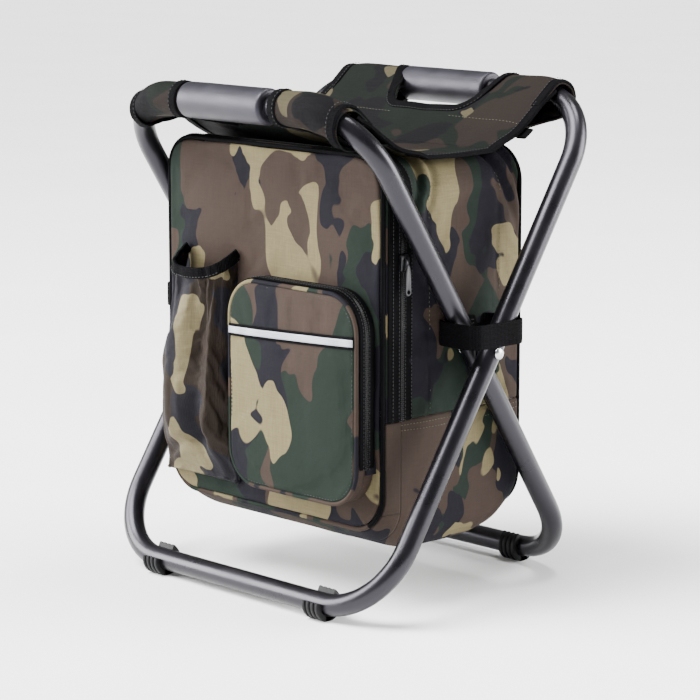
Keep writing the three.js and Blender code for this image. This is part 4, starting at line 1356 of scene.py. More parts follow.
@dataclass(frozen=True)
class Bag:
    """The insulated bag: hoop, boot, back panel, piping and liner."""

    shape: BagShape
    zip_depth: float
    back_face: float
    wall: float = 0.0026
    gusset_from: float = 0.082
    side_seams: Pair = (-0.039, 0.041)
    seat_edges: Pair = (-0.046, 0.047)
    piping: float = 0.002
    film_inset: float = 0.0034
    deepest: float = -0.0036
    beside_seam: float = 0.0024
    tie: Pair = (0.084, 0.150)
    back_thickness: float = 0.004
    back_bulge: float = 0.003
    back_thickest: float = 0.0078
    crinkle: Crumple = Crumple(11.0, 0.0009, (60.0, 60.0, 60.0))
    back_folds: Crumple = Crumple(7.0, 0.0016)

    def build(self) -> None:
        """Makes every piece that stays with the bag."""
        self.hoop()
        self.boot()
        for side in Side:
            self.gusset(side)
        self.back()
        self.seams()
        self.liner()

    def pinch(self, y: float, z: float, edge: float) -> float:
        """How deep the taut seat pinches the side beside it.

        Args:
            y: The depth.
            z: The height.
            edge: Depth of the seat's edge.

        Returns:
            The depth of the folds, negative between them.
        """
        away = (y - edge) + (z - 0.345) * 0.35 * math.copysign(1, edge)
        fold = hump(away, 0.0, 0.0035) - 0.8 * hump(away, 0.008, 0.004) + 0.6 * hump(away, 0.016, 0.004)
        clear = ease(y, self.zip_depth + 0.008, self.zip_depth + 0.02)
        return 0.0055 * fold * clear * hump(z, 0.343, 0.028)

    def swell(self, y: float, share: float, rise: int) -> float:
        """How far the padded cloth stands from the outline.

        Args:
            y: The depth.
            share: Place along the outline.
            rise: ABOVE or BELOW the seam.

        Returns:
            The height, which is negative in the seams.
        """
        spot, near = self.shape.spot(y, share, rise), min(share, 1 - share)
        body = ease(y, self.zip_depth + 0.011, self.zip_depth + 0.03)
        body *= 1 - ease(y, self.back_face - 0.02, self.back_face)
        height = 0.0011 * body + body * Crumple(rise * 2.0, 0.0017).at(spot)
        if rise < 0:
            height -= 0.0012 * (hump(share, 0, 0.004) + hump(share, 1, 0.004))
        else:
            for seam in self.side_seams if near < 0.3 else ():
                pucker = math.sin(spot.z * math.tau / 0.013 + seam * 90) * hump(y, seam, 0.006)
                height += 0.00035 * pucker - 0.0013 * hump(y, seam, 0.0016)
            for edge in self.seat_edges:
                height -= self.pinch(y, spot.z, edge)
        under_seat = rise > 0 and near > 0.35 and abs(y) < 0.042
        limit = 0.0 if under_seat else 0.0021 if near < 0.28 else 0.003
        return clamp(height, self.deepest, limit)

    def cloth(self, y: float, share: float, rise: int, out: float = 0.0) -> Vector:
        """A point above the bag's outer cloth."""
        return self.shape.spot(y, share, rise, self.swell(y, share, rise) + out)

    def hoop(self) -> None:
        """The band over the sides and top."""
        start, end = self.zip_depth + HALF_GAP, self.back_face - GAP
        drape = Drape(0.02, 0.3, 0.003, held=lambda p: abs(p.y) < 0.044 and p.z > 0.345)
        Form().sheet(168, 56, lambda u, v: self.cloth(mix(start, end, v), u, ABOVE)).piece(
            "bag_sides", HOOP_PRINT, BAG, "bag_hoop", wall=self.wall, levels=1, drape=drape, fill=0.35)

    def boot(self) -> None:
        """The band round the bottom, with a strip under the flap."""
        start, end = self.zip_depth, self.back_face - GAP

        def under_flap(u: float, v: float) -> Vector:
            """A point of the strip in front of the zip's line.

            Args:
                u: Share of the way round.
                v: Share of its depth.

            Returns:
                The point.
            """
            y = mix(self.shape.front, start, v)
            limit = self.shape.gusset_share(y, self.gusset_from - HALF_GAP)
            return self.cloth(y, mix(limit, 1 - limit, u), BELOW)

        form = Form().sheet(200, 84, lambda u, v: self.cloth(mix(start, end, v), u, BELOW))
        form.sheet(160, 10, under_flap)
        form.piece("bag_boot", BOOT_PRINT, BAG, "bag_base", wall=self.wall, fill=0.3)

    def gusset(self, side: Side) -> None:
        """One of the two corners that tie the flap to the boot.

        Args:
            side: The side that it is on.
        """
        def corner(u: float, v: float) -> Vector:
            """A point of the gusset.

            Args:
                u: Share of its depth.
                v: Share of its height.

            Returns:
                The point.
            """
            y = mix(self.shape.front, self.zip_depth - HALF_GAP, u)
            share = mix(0.002, self.shape.gusset_share(y, self.gusset_from + HALF_GAP), v)
            return self.cloth(y, share if side is Side.RIGHT else 1 - share, BELOW)

        piece = Form().sheet(14, 40, corner).piece(
            f"flap_gusset_{side.word}", BOOT_PRINT, None, f"lower_gusset_{side.word}", wall=self.wall,
            core=BAG_CORE)
        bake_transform(piece)

    def back(self) -> None:
        """The padded back panel and its piping."""
        inset = 2 * self.piping + GAP

        def panel(u: float, v: float) -> Vector:
            """A point of the back.

            Args:
                u: Share across.
                v: Share up.

            Returns:
                The point.
            """
            x, z = self.shape.panel(self.back_face, inset, u, v)
            dent = self.back_folds.at(Vector((x, 0.5, z)))
            out = self.back_thickness + crown(u, v) * (self.back_bulge + dent)
            return Vector((x, self.back_face + min(out, self.back_thickest), z))

        Form().sheet(64, 76, panel).piece(
            "back_panel", BACK_PRINT, BAG, "bag_back_panel", wall=0.0035, levels=1, core=BAG_CORE,
            drape=Drape(0.012, 0.4, 0.0016), fill=0.4)
        points = [p + BACKWARD * self.piping for p in self.shape.loop(self.back_face, self.piping)]
        Form().sweep(Rail(points, BACKWARD, True), Section(2 * self.piping, 2 * self.piping)).piece(
            "back_piping", BINDING, BAG, "rear_piping")

    def seams(self) -> None:
        """Topstitching beside the side seams and twice along the boot's edge."""
        form = Form()
        for seam in self.side_seams:
            for start, end in ((0.01, 0.31), (0.99, 0.69)):
                spots = [(seam + self.beside_seam, share) for share in spread(start, end, 90)]
                form.stitches(self.side_line(spots, ABOVE, 0.0001), 0.0036, 0.00024)
        depths = spread(self.zip_depth + 0.001, self.back_face - 0.002, 90)
        for down in (0.009, 0.019):
            for share in (down, 1 - down):
                line = self.side_line([(y, share) for y in depths], BELOW, 0.0002)
                form.stitches(line, girth=0.00028)
        form.piece("bag_topstitching", THREAD, BAG)

    def side_line(self, spots: Sequence[Pair], rise: int, out: float) -> Rail:
        """A line over the bag's sides, through (depth, share) spots."""
        points = [self.cloth(y, share, rise, out) for y, share in spots]
        return Rail(points, [Vector((math.copysign(1, p.x), 0, 0)) for p in points])

    def liner(self) -> None:
        """The film inside: a band above the seam, one below it and a rear wall."""
        def band(rise: int) -> Place:
            """Places the film above or below the seam.

            Args:
                rise: ABOVE or BELOW.

            Returns:
                Gives the point for two shares.
            """
            def point(u: float, v: float) -> Vector:
                """A point of the film.

                Args:
                    u: Share of the way round.
                    v: Share of its depth.

                Returns:
                    The point.
                """
                y = mix(self.zip_depth + 2 * GAP, self.back_face - 0.001, v)
                flat = self.shape.spot(y, u, rise, -self.film_inset)
                inset = self.film_inset - min(self.swell(y, u, rise), 0.0)
                return self.shape.spot(y, u, rise, -inset - abs(self.crinkle.at(flat)))
            return point

        def wall(u: float, v: float) -> Vector:
            """A point of the rear wall.

            Args:
                u: Share across.
                v: Share up.

            Returns:
                The point.
            """
            y = self.back_face - 0.0015
            x, z = self.shape.panel(y, self.film_inset, u, v)
            return Vector((x, y - abs(self.crinkle.at(Vector((x, y, z)))), z))

        Form().sheet(120, 40, band(ABOVE)).sheet(100, 40, band(BELOW)).sheet(70, 80, wall).piece(
            "cooler_film", FILM, BAG, "cooler_liner")


@dataclass(frozen=True)
class Flap:
    """The front flap: padded panel, its band, piping and film."""

    bag: Bag
    thickness: float = 0.004
    bulge: float = 0.0015
    thickest: float = 0.0062
    tuck: float = 0.0004
    film_inset: float = 0.009
    quilt: float = 0.045
    cloth_shares: Pair = (0.66, 0.90)
    folds: Crumple = Crumple(17.0, 0.0016, (18.0, 18.0, 14.0))

    def build(self) -> None:
        """Makes every piece of the flap but its pockets."""
        bag, shape = self.bag, self.bag.shape
        Form().sheet(76, 90, self.panel).piece(
            "flap_panel", FRONT_PRINT, FLAP, "front_panel", wall=0.0034, levels=1, core=BAG_CORE,
            drape=Drape(0.012, 0.4, 0.0018), fill=0.4)
        Form().sheet(240, 10, lambda u, v: shape.spot(mix(shape.front, bag.zip_depth - HALF_GAP, v), u, ABOVE,
                                                      -0.0001)).piece(
            "flap_band", HOOP_PRINT, FLAP, "flap_hoop", wall=bag.wall)
        self.trim()
        Form().sheet(90, 110, self.film).piece(
            "flap_film", FILM, FLAP, "flap_liner", wall=0.0008, core=BAG_CORE + FORWARD / 2)

    def panel(self, u: float, v: float) -> Vector:
        """A point of the padded front, pulled in at its piping, with slack folds.

        Args:
            u: Share across.
            v: Share up.

        Returns:
            The point.
        """
        x, z = self.bag.shape.panel(self.bag.shape.front, 2 * self.bag.piping - self.tuck, u, v)
        slant = math.sin((x * 0.8 + z) * math.tau / 0.115 + 0.6) * 0.0005
        rise = crown(u, v) * (self.bulge + self.folds.at(Vector((x, 0, z))) + slant)
        return Vector((x, self.bag.shape.front - GAP - min(self.thickness + rise, self.thickest), z))

    def trim(self) -> None:
        """The piping round the front: black, with printed cloth along the bottom."""
        bag = self.bag
        loop = [p + FORWARD * (bag.piping + GAP) for p in bag.shape.loop(bag.shape.front, bag.piping)]
        cord = Section(2 * bag.piping, 2 * bag.piping)
        start, end = (round(len(loop) * share) for share in self.cloth_shares)
        Form().sweep(Rail(loop[end:] + loop[:start + 1], FORWARD), cord).piece(
            "flap_piping", BINDING, FLAP, "front_piping")
        Form().sweep(Rail(loop[start:end + 1], FORWARD), cord).piece("flap_piping_cloth", PIPING_PRINT, FLAP)

    def film(self, u: float, v: float) -> Vector:
        """A point of the quilted film on the inside.

        Args:
            u: Share across.
            v: Share up.

        Returns:
            The point.
        """
        y = self.bag.shape.front
        x, z = self.bag.shape.panel(y, self.film_inset, u, v)
        quilt = math.sqrt(abs(math.sin(x * math.pi / self.quilt) * math.sin(z * math.pi / self.quilt)))
        return Vector((x, y + 0.0012 + 0.0012 * quilt * math.sin(math.pi * u) ** 0.3, z))


@dataclass(frozen=True)
class MainZip:
    """The zip round the flap: two tapes, two rows of coil, a slider and its pull."""

    bag: Bag
    flap_tape: float = 0.0154
    bag_tape: float = 0.012
    rise: float = 0.0003
    thickness: float = 0.0012
    slider_height: float = 0.28504
    parting: float = 0.0011
    seams: Pair = (0.0035, 0.0103)

    def build(self) -> None:
        """Makes the zip."""
        self.tape("flap", FLAP, -1, self.flap_tape)
        self.tape("bag", BAG, 1, self.bag_tape)
        line = self.bag.shape.over(self.bag.zip_depth, self.rise + 0.0011)
        for word, body, side in (("flap", FLAP, -1), ("bag", BAG, 1)):
            Form().coil(line, side).piece(f"zip_coil_{word}", TEETH, body)
        self.slider()
        low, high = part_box("main_zip_pull")
        Form().pull(low, high, self.bag.zip_depth).piece(
            "main_pull", PULLER, "main_pull", "main_zip_pull", sharp=50)

    def tape(self, word: str, body: str, sign: int, width: float) -> None:
        """One tape with a folded inner edge, and its stitches.

        Args:
            word: What it is sewn to.
            body: The body that it rides on.
            sign: -1 in front of the coil, 1 behind it.
            width: Its width.
        """
        shape, depth = self.bag.shape, self.bag.zip_depth

        def point(u: float, v: float) -> Vector:
            """A point of the tape. Its edge beside the coil rolls up.

            Args:
                u: Share of its length.
                v: Share of its width.

            Returns:
                The point.
            """
            roll = 0.0005 * hump(v, 0.1, 0.09) - 0.0008 * ease(v, 0.93, 1.0)
            return shape.spot(depth + sign * mix(self.parting, width, v), u, ABOVE,
                              self.rise + self.thickness * 0.75 + roll)

        Form().sheet(240, 14, point).piece(
            f"zip_tape_{word}", ZIP_TAPE, body, f"main_zip_tape_{word}", wall=0.0009)
        form = Form()
        for aside in self.seams:
            form.stitches(shape.over(depth + sign * aside, self.rise + self.thickness + 0.0001), 0.003)
        form.piece(f"zip_tape_{word}_stitches", DARK_THREAD, body)

    def slider(self) -> None:
        """The slider's body, its rims and its bridge."""
        x = self.bag.shape.half_width + 2 * self.rise + self.thickness
        at = Matrix.Translation((x, self.bag.zip_depth, self.slider_height))
        form = Form().block((0.0028, 0.0088, 0.0128), at @ Matrix.Translation((0.0015, 0, 0)), 0.0011)
        for side in (-1, 1):
            aside = Matrix.Translation((0.0013, side * 0.0037, -0.0006))
            form.block((0.0034, 0.0014, 0.0105), at @ aside, 0.0005)
        arch = [at @ Vector((0.0026 + 0.0024 * math.sin(a), 0, -0.0042 * math.cos(a)))
                for a in spread(0, math.pi, 12)]
        form.sweep(Rail(arch, BACKWARD), Section(0.0013, 0.003, 3.0, 10))
        form.piece("main_slider", PULLER, "main_slider", "main_zip_slider", sharp=50)


@dataclass(frozen=True)
class Sling:
    """The seat: a middle that lies on the bag and a slope up to each top bar, all bound in tape."""

    seat: Seat
    half_width: float = 0.129
    flat_length: float = 0.101
    radius: float = 0.0142
    hole_round: float = 0.018
    bar_reach: float = 0.12577
    last: float = 0.86
    cloth: float = 0.0017
    tape_height: float = 0.0032
    above: float = 0.0009
    columns: tuple[int, int, int] = (34, 50, 34)
    rows: int = 40
    low_rows: int = 28

    def build(self) -> None:
        """Makes the three cloths, their bindings and stitches."""
        for side, place in ((FRONT, "front"), (REAR, "rear")):
            self.slope_cloth(side, place)
            self.slope_trim(side, place)
        self.middle_cloth()

    @property
    def span(self) -> float:
        """The way from the seat's edge to the bar, seen from above."""
        return self.bar_reach - self.seat.half_depth

    @property
    def hole_run(self) -> float:
        """Share of the slope at which its hand hole ends."""
        return 1 - self.seat.hole_depth / self.span

    @property
    def tape(self) -> Section:
        """The binding's section."""
        return Section(self.seat.tape, self.tape_height, 6.0, 16)

    def edge(self, side: int, half: Side, run: float) -> float:
        """Place across of a slope's outer edge. It tapers a little towards the bar."""
        return mix(half.value * self.half_width, CUTS[side, half].end, ease(run, 0.2, 0.85))

    def hole_edge(self, side: int, half: Side, run: float) -> float:
        """Place across of a hole's side at a share of the slope."""
        cut = CUTS[side, half]
        return cut.hole + cut.slant * min((1 - run) / (1 - self.hole_run), 1.0)

    def slope(self, side: int, x: float, run: float, out: float = 0.0) -> Vector:
        """A point of a slope.

        Args:
            side: FRONT or REAR.
            x: Place across.
            run: Share of the way from the seat's edge to the bar.
            out: Height above the cloth.

        Returns:
            The point.
        """
        fold = self.seat.fold(side, x, self.radius)
        reach = mix(self.seat.half_depth, fold.reach, run)
        near = self.seat.height(fold, reach)
        pitch = (self.seat.height(fold, reach + PROBE / 2) - near) / (PROBE / 2)
        spot = Vector((x * 22, run * 1.1 + side * 3, 0.4))
        slack = (0.0012 * noise.noise(spot) + 0.0006 * noise.noise(spot * 2.6)) * ease(run, 0.0, 0.2)
        slack *= 1 - ease(run, 0.55, 0.75)
        dive = 0.0020 * ease(run, 0.70, 0.86)
        normal = Vector((0, -side * pitch, 1)).normalized()
        return Vector((x, side * reach, near)) + normal * (out + slack - dive)

    def line(self, side: int, spots: Sequence[Pair], out: float) -> Rail:
        """A line over a slope through (x, run) spots."""
        return Rail.over(lambda x, run, height: self.slope(side, x, run, height), spots, out)

    def middle(self, x: float, y: float, out: float = 0.0) -> Vector:
        """A point of the flat middle.

        Args:
            x: Place across.
            y: The depth.
            out: Height above the cloth.

        Returns:
            The point.
        """
        loose = 1 - (y / self.seat.half_depth) ** 2
        slack = (0.0007 * noise.noise(Vector((x * 20, y * 20, 8))) - 0.0012) * loose
        return Vector((x, y, self.seat.edge + slack + out))

    def slope_cloth(self, side: int, place: str) -> None:
        """One slope with its hand hole.

        Args:
            side: FRONT or REAR.
            place: The side's word in names.
        """
        columns, hole = self.columns, self.hole_run

        def point(u: float, v: float) -> Vector:
            """A point of the grid, whose lines follow the hole's sides.

            Args:
                u: Share across.
                v: Share up.

            Returns:
                The point.
            """
            row = v * self.rows - self.low_rows
            run = hole * (row / self.low_rows + 1) if row <= 0 else mix(hole, self.last,
                                                                        row / (self.rows - self.low_rows))
            column, starts = u * sum(columns), (0, columns[0], columns[0] + columns[1])
            edges = [self.edge(side, Side.LEFT, run), self.hole_edge(side, Side.LEFT, run),
                     self.hole_edge(side, Side.RIGHT, run), self.edge(side, Side.RIGHT, run)]
            band = sum(column > start for start in starts[1:])
            x = mix(edges[band], edges[band + 1], (column - starts[band]) / columns[band])
            return self.slope(side, x, run)

        def inside(spot: Vector) -> bool:
            """Whether a point of the slope lies in its hand hole."""
            run = (abs(spot.y) - self.seat.half_depth) / self.span
            return self.hole_edge(side, Side.LEFT, run) < spot.x < self.hole_edge(side, Side.RIGHT, run)

        form = Form().sheet(sum(columns), self.rows, point)
        far = abs(self.slope(side, 0, hole).y)
        middles = {face: face.calc_center_median() for face in form.bm.faces}
        gone = [face for face, spot in middles.items() if abs(spot.y) > far and inside(spot)]
        bmesh.ops.delete(form.bm, geom=gone, context="FACES")
        piece = form.piece(f"sling_slope_{place}", SHADED_SLING_PRINT, None, f"seat_slope_{place}", wall=self.cloth,
                           core=UNDER_SEAT)
        self.seat.join(piece, side)

    def hole_rail(self, side: int, aside: float, out: float) -> Rail:
        """The hole's edge, from bar to bar.

        Args:
            side: FRONT or REAR.
            aside: How far it is moved into the cloth.
            out: Height above the cloth.

        Returns:
            The rail.
        """
        hub, corner = self.hole_run, self.hole_run + self.hole_round / self.span
        round_by = self.hole_round + aside

        def flank(half: Side) -> list[Pair]:
            """One side of the hole and its corner.

            Args:
                half: Which side.

            Returns:
                Its (x, run) spots, from the bar down.
            """
            at = self.hole_edge(side, half, corner)
            down = [(self.hole_edge(side, half, run) + half.value * aside, run)
                    for run in spread(self.last, corner, 8)]
            return down + [(at + half.value * (aside - round_by * (1 - math.cos(a))),
                            hub + (self.hole_round - round_by * math.sin(a)) / self.span)
                           for a in spread(0, math.pi / 2, 10)[1:-1]]

        left, right = (self.hole_edge(side, half, corner) - half.value * self.hole_round
                       for half in (Side.LEFT, Side.RIGHT))
        foot = [(x, hub - aside / self.span) for x in spread(left, right, 24)]
        return self.line(side, flank(Side.LEFT) + foot + flank(Side.RIGHT)[::-1], out)

    def edge_rail(self, side: int, half: Side, inset: float, out: float) -> Rail:
        """A line up a slope beside its outer edge."""
        spots = [(self.edge(side, half, run) - half.value * inset, run) for run in spread(0, 0.88, 40)]
        return self.line(side, spots, out)

    def slope_trim(self, side: int, place: str) -> None:
        """Tape and stitches on a slope's edges and round its hole, and the hem's stitch line.

        Args:
            side: FRONT or REAR.
            place: The side's word in names.
        """
        width, under = self.seat.tape, -self.cloth / 2
        tapes = Form().sweep(self.hole_rail(side, width / 2 - 0.001, under), self.tape)
        threads = Form().stitches(self.hole_rail(side, width - 0.0025, self.above))
        for half in (Side.LEFT, Side.RIGHT):
            tapes.sweep(self.edge_rail(side, half, width / 2 - 0.0008, under), self.tape)
            threads.stitches(self.edge_rail(side, half, width - 0.0022, self.above))
        self.seat.join(tapes.piece(f"sling_binding_{place}", BINDING, None), side)
        self.seat.join(threads.piece(f"sling_stitches_{place}", DARK_THREAD, None), side)
        hem = (self.seat.seam_reach + 0.0015 - self.seat.half_depth) / self.span
        form = Form()
        for half in (Side.LEFT, Side.RIGHT):
            ends = sorted((self.edge(side, half, hem) - half.value * 0.009,
                           self.hole_edge(side, half, hem) - half.value * 0.004))
            points = [self.slope(side, x, hem, 0.0001) for x in spread(*ends, 20)]
            form.stitches(Rail(points, Vector((0, -side * 0.6, 0.8))), 0.0038, 0.00026)
        self.seat.join(form.piece(f"sling_hem_{place}", THREAD, None), side)
        if side == REAR:
            self.tab()

    def tab(self) -> None:
        """The short webbing tab under the right rear edge."""
        points = [self.slope(REAR, self.edge(REAR, Side.RIGHT, run) + 0.0012, run, -0.0042)
                  for run in spread(0.35, 0.46, 4)]
        form = Form().sweep(Rail(points, UP), Section(0.0100, 0.0022, 5.0, 12))
        self.seat.join(form.piece("sling_tab", BINDING, None), REAR)

    def middle_cloth(self) -> None:
        """The middle, its tape and its stitches."""
        wide, deep, tape = self.half_width, self.seat.half_depth, self.seat.tape
        form = Form().sheet(110, 34, lambda u, v: self.middle(mix(-wide, wide, u), mix(-deep, deep, v)))
        piece = form.piece("sling_middle", SHADED_SLING_PRINT, BAG, "seat_middle", wall=self.cloth, core=UNDER_SEAT)
        tapes, threads, depths = Form(), Form(), spread(-deep, deep, 24)
        for sign in (-1, 1):
            for form, across, out in ((tapes, wide - tape / 2 + 0.0008, -self.cloth / 2),
                                      (threads, wide - tape + 0.0022, self.above)):
                rail = Rail([self.middle(sign * across, y, out) for y in depths], UP)
                form.sweep(rail, self.tape) if form is tapes else form.stitches(rail)
        tapes.piece("sling_binding_middle", BINDING, BAG)
        threads.piece("sling_stitches_middle", DARK_THREAD, BAG)


@dataclass
class RoundRing:
    """A rectangle with round corners in the (x, z) plane, walked at an even pace."""

    left: float
    right: float
    bottom: float
    top: float
    radius: float
    pitch: float = 0.002

    def __post_init__(self) -> None:
        """Measures the outline once, from the middle of its bottom edge towards +X."""
        radius = self.radius
        left, right = self.left + radius, self.right - radius
        low, high = self.bottom + radius, self.top - radius
        points = [((self.left + self.right) / 2, self.bottom)]
        for x, z, start in ((right, low, -90), (right, high, 0), (left, high, 90), (left, low, 180)):
            points += quarter(x, z, radius, start, 12)
        line: list[Pair] = []
        for a, b in zip(points, points[1:] + points[:1]):
            steps = max(int(math.dist(a, b) / self.pitch), 1)
            line += list(zip(spread(a[0], b[0], steps), spread(a[1], b[1], steps)))[:-1]
        self.spots = np.array(line + line[:1])
        self.steps = np.r_[0, np.cumsum(np.linalg.norm(np.diff(self.spots, axis=0), axis=1))]

    def flat(self, share: float) -> Pair:
        """The (x, z) of a share of the outline."""
        at = (share % 1.0) * self.steps[-1]
        return tuple(float(np.interp(at, self.steps, self.spots[:, k])) for k in (0, 1))

    def spot(self, share: float, y: float, out: float = 0.0) -> Vector:
        """A point of the outline.

        Args:
            share: Share of the way round.
            y: Its depth.
            out: Height above the outline.

        Returns:
            The point.
        """
        x, z = self.flat(share)
        ahead, behind = self.flat(share + 0.002), self.flat(share - 0.002)
        away = Vector((ahead[1] - behind[1], 0, behind[0] - ahead[0])).normalized()
        return Vector((x, y, z)) + away * out

    def share_at(self, height: float) -> float:
        """Share at which the right side reaches a height."""
        return next(float(share) for share in np.linspace(0, 0.5, 2000) if self.flat(share)[1] >= height)

    def whole(self, y: float, out: float) -> Rail:
        """The whole outline at a depth and a height above it, as a closed rail that faces forward."""
        return Rail([self.spot(share, y, out) for share in spread(0, 1, 200)[:-1]], FORWARD, True)

    def part(self, y: float, out: float, start: float) -> Rail:
        """The outline between two mirrored shares, as an open rail that faces away from it."""
        return Rail.over(self.spot, [(share, y) for share in spread(start, 1 - start, 200)], out)


@dataclass
class FrontPocket:
    """The zipped pocket on the flap: a fixed gusset, and a padded face that folds down."""

    back: float
    split: float = -0.0993
    rim: float = -0.1072
    bulge: float = 0.0052
    wall: float = 0.0016
    radius: float = 0.032
    face_inset: float = 0.0016
    strip: Pair = (0.2148, 0.2205)
    strip_rise: float = 0.006
    strip_border: float = 0.0022
    held_by_strip: float = 0.003
    zip_end: float = 0.122
    parting: float = 0.0009
    tapes: Pair = (0.0085, 0.0070)
    folds: Crumple = Crumple(23.0, 0.0016, (20, 20, 15))

    def __post_init__(self) -> None:
        """Reads the pocket's place."""
        low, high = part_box("pocket_gusset")
        self.ring = RoundRing(low.x, high.x, low.z, high.z, self.radius)
        self.core = Vector((0.045, 0.0, 0.175))

    def build(self) -> None:
        """Makes the pocket."""
        self.gusset("rear", FLAP, self.back, self.split + HALF_GAP, "pocket_gusset")
        self.gusset("front", DOOR, self.split - HALF_GAP, self.rim)
        self.face()
        self.band()
        self.tape("rear", FLAP, 1, self.tapes[0], "pocket_zip_tape_panel")
        self.tape("front", DOOR, -1, self.tapes[1], "pocket_zip_tape_face")
        self.tabs()
        self.slider()

    def gusset(self, word: str, body: str, start: float, end: float, *nodes: str) -> None:
        """One half of the band round the pocket, with small waves in its cloth.

        Args:
            word: Its word in names.
            body: The body that it rides on.
            start: Depth of its rear edge.
            end: Depth of its front edge.
            nodes: What it stands for.
        """
        def point(u: float, v: float) -> Vector:
            """A point of the band, at two shares of it."""
            y = mix(start, end, v)
            return self.ring.spot(u, y, 0.0005 * noise.noise(self.ring.spot(u, y) * 60))

        Form().sheet(200, 8, point).piece(f"pocket_gusset_{word}", POCKET_PRINT, body, *nodes, wall=self.wall)

    def surface(self, x: float, z: float, rise: float, out: float = 0.0) -> Vector:
        """A point of the face, for its share of the crown."""
        dent = self.folds.at(Vector((x, 0, z))) * rise
        return Vector((x, self.rim - 0.001 - self.bulge * rise * 0.82 - dent - out, z))

    def face(self) -> None:
        """The padded face, its piping and its stitches."""
        ring, inset, (low, high), grip = self.ring, self.face_inset, self.strip, self.held_by_strip
        box = (ring.left + inset, ring.right - inset, ring.bottom + inset, ring.top - inset)

        def point(u: float, v: float) -> Vector:
            """A point of the face, at two shares of it."""
            x, z = rounded_spot(u, v, box, self.radius - inset, self.radius - inset)
            return self.surface(x, z, crown(u, v, 0.33))

        Form().sheet(54, 60, point).piece(
            "pocket_front", POCKET_PRINT, DOOR, "pocket_face", wall=0.002, levels=1, fill=0.45,
            core=self.core, drape=Drape(0.01, 0.3, 0.0012, held=lambda p: low - grip < p.z < high + grip))
        Form().sweep(ring.whole(self.rim - 0.0004, -0.0008), Section(0.0036, 0.0038)).piece(
            "pocket_piping", PIPING_PRINT, DOOR)
        Form().stitches(ring.whole(self.rim - 0.0021, -0.0042)).piece(
            "pocket_topstitching", DARK_THREAD, DOOR)

    def over(self, low: float, high: float, out: float) -> Place:
        """Places a strip on the face between two heights.

        Args:
            low: Its lower edge, at the left.
            high: Its upper edge, at the left.
            out: Height above the face.

        Returns:
            Gives the point for two shares.
        """
        ring, inset = self.ring, self.strip_border

        def point(u: float, v: float) -> Vector:
            """A point of the strip.

            Args:
                u: Share across.
                v: Share up.

            Returns:
                The point.
            """
            x, z = mix(ring.left + inset, ring.right - inset, u), mix(low, high, v) + self.strip_rise * u
            across = (x - ring.left) / (ring.right - ring.left)
            up = (z - ring.bottom) / (ring.top - ring.bottom)
            return self.surface(x, z, crown(across, up, 0.33), out)
        return point

    def band(self) -> None:
        """The reflective strip between two narrow black borders."""
        low, high = self.strip
        border = self.strip_border
        Form().sheet(80, 6, self.over(low, high, 0.0013)).piece(
            "pocket_strip", SILVER, DOOR, "pocket_reflective_strip", wall=0.0004, core=self.core)
        Form().sheet(80, 8, self.over(low - border, high + border, 0.0008)).piece(
            "pocket_strip_border", BINDING, DOOR, wall=0.0006, core=self.core)

    def tape(self, word: str, body: str, sign: int, width: float, node: str) -> None:
        """One tape of the zip, its half of the coil and its stitches.

        Args:
            word: Its word in names.
            body: The body that it rides on.
            sign: 1 behind the split, -1 in front of it.
            width: Its width.
            node: What it stands for.
        """
        ring, start = self.ring, self.ring.share_at(self.zip_end)

        def point(u: float, v: float) -> Vector:
            """A point of the tape, at two shares of it."""
            y = self.split + sign * mix(self.parting, width, v)
            return ring.spot(mix(start, 1 - start, u), y, 0.0021 + 0.0003 * hump(v, 0.15, 0.12))

        Form().sheet(200, 8, point).piece(f"pocket_tape_{word}", ZIP_TAPE, body, node, wall=0.0008)
        Form().coil(ring.part(self.split, 0.0018, start), sign).piece(f"pocket_coil_{word}", TEETH, body)
        Form().stitches(ring.part(self.split + sign * 0.0032, 0.0023, start), 0.003).piece(
            f"pocket_tape_stitches_{word}", DARK_THREAD, body)

    def tabs(self) -> None:
        """The tabs over the zip's ends."""
        start = self.ring.share_at(self.zip_end)
        for side, share in ((Side.RIGHT, start), (Side.LEFT, 1 - start)):
            x, z = self.ring.flat(share)
            place = Matrix.Translation((x + side.value * 0.0006, self.split + 0.0075, z))
            Form().block((0.0022, 0.0142, 0.011), place, 0.0006).piece(
                f"pocket_zip_tab_{side.word}", PIPING_PRINT, FLAP)

    def slider(self) -> None:
        """The small slider on the left, and its pull."""
        low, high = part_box("pocket_zip_slider")
        Form().block(high - low, Matrix.Translation((low + high) / 2), 0.0007).piece(
            "pocket_slider", PULLER, "pocket_slider", "pocket_zip_slider")
        low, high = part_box("pocket_zip_pull")
        Form().pull(low, high, (low.y + high.y) / 2).piece(
            "pocket_pull", PULLER, "pocket_slider", "pocket_zip_pull", sharp=50)


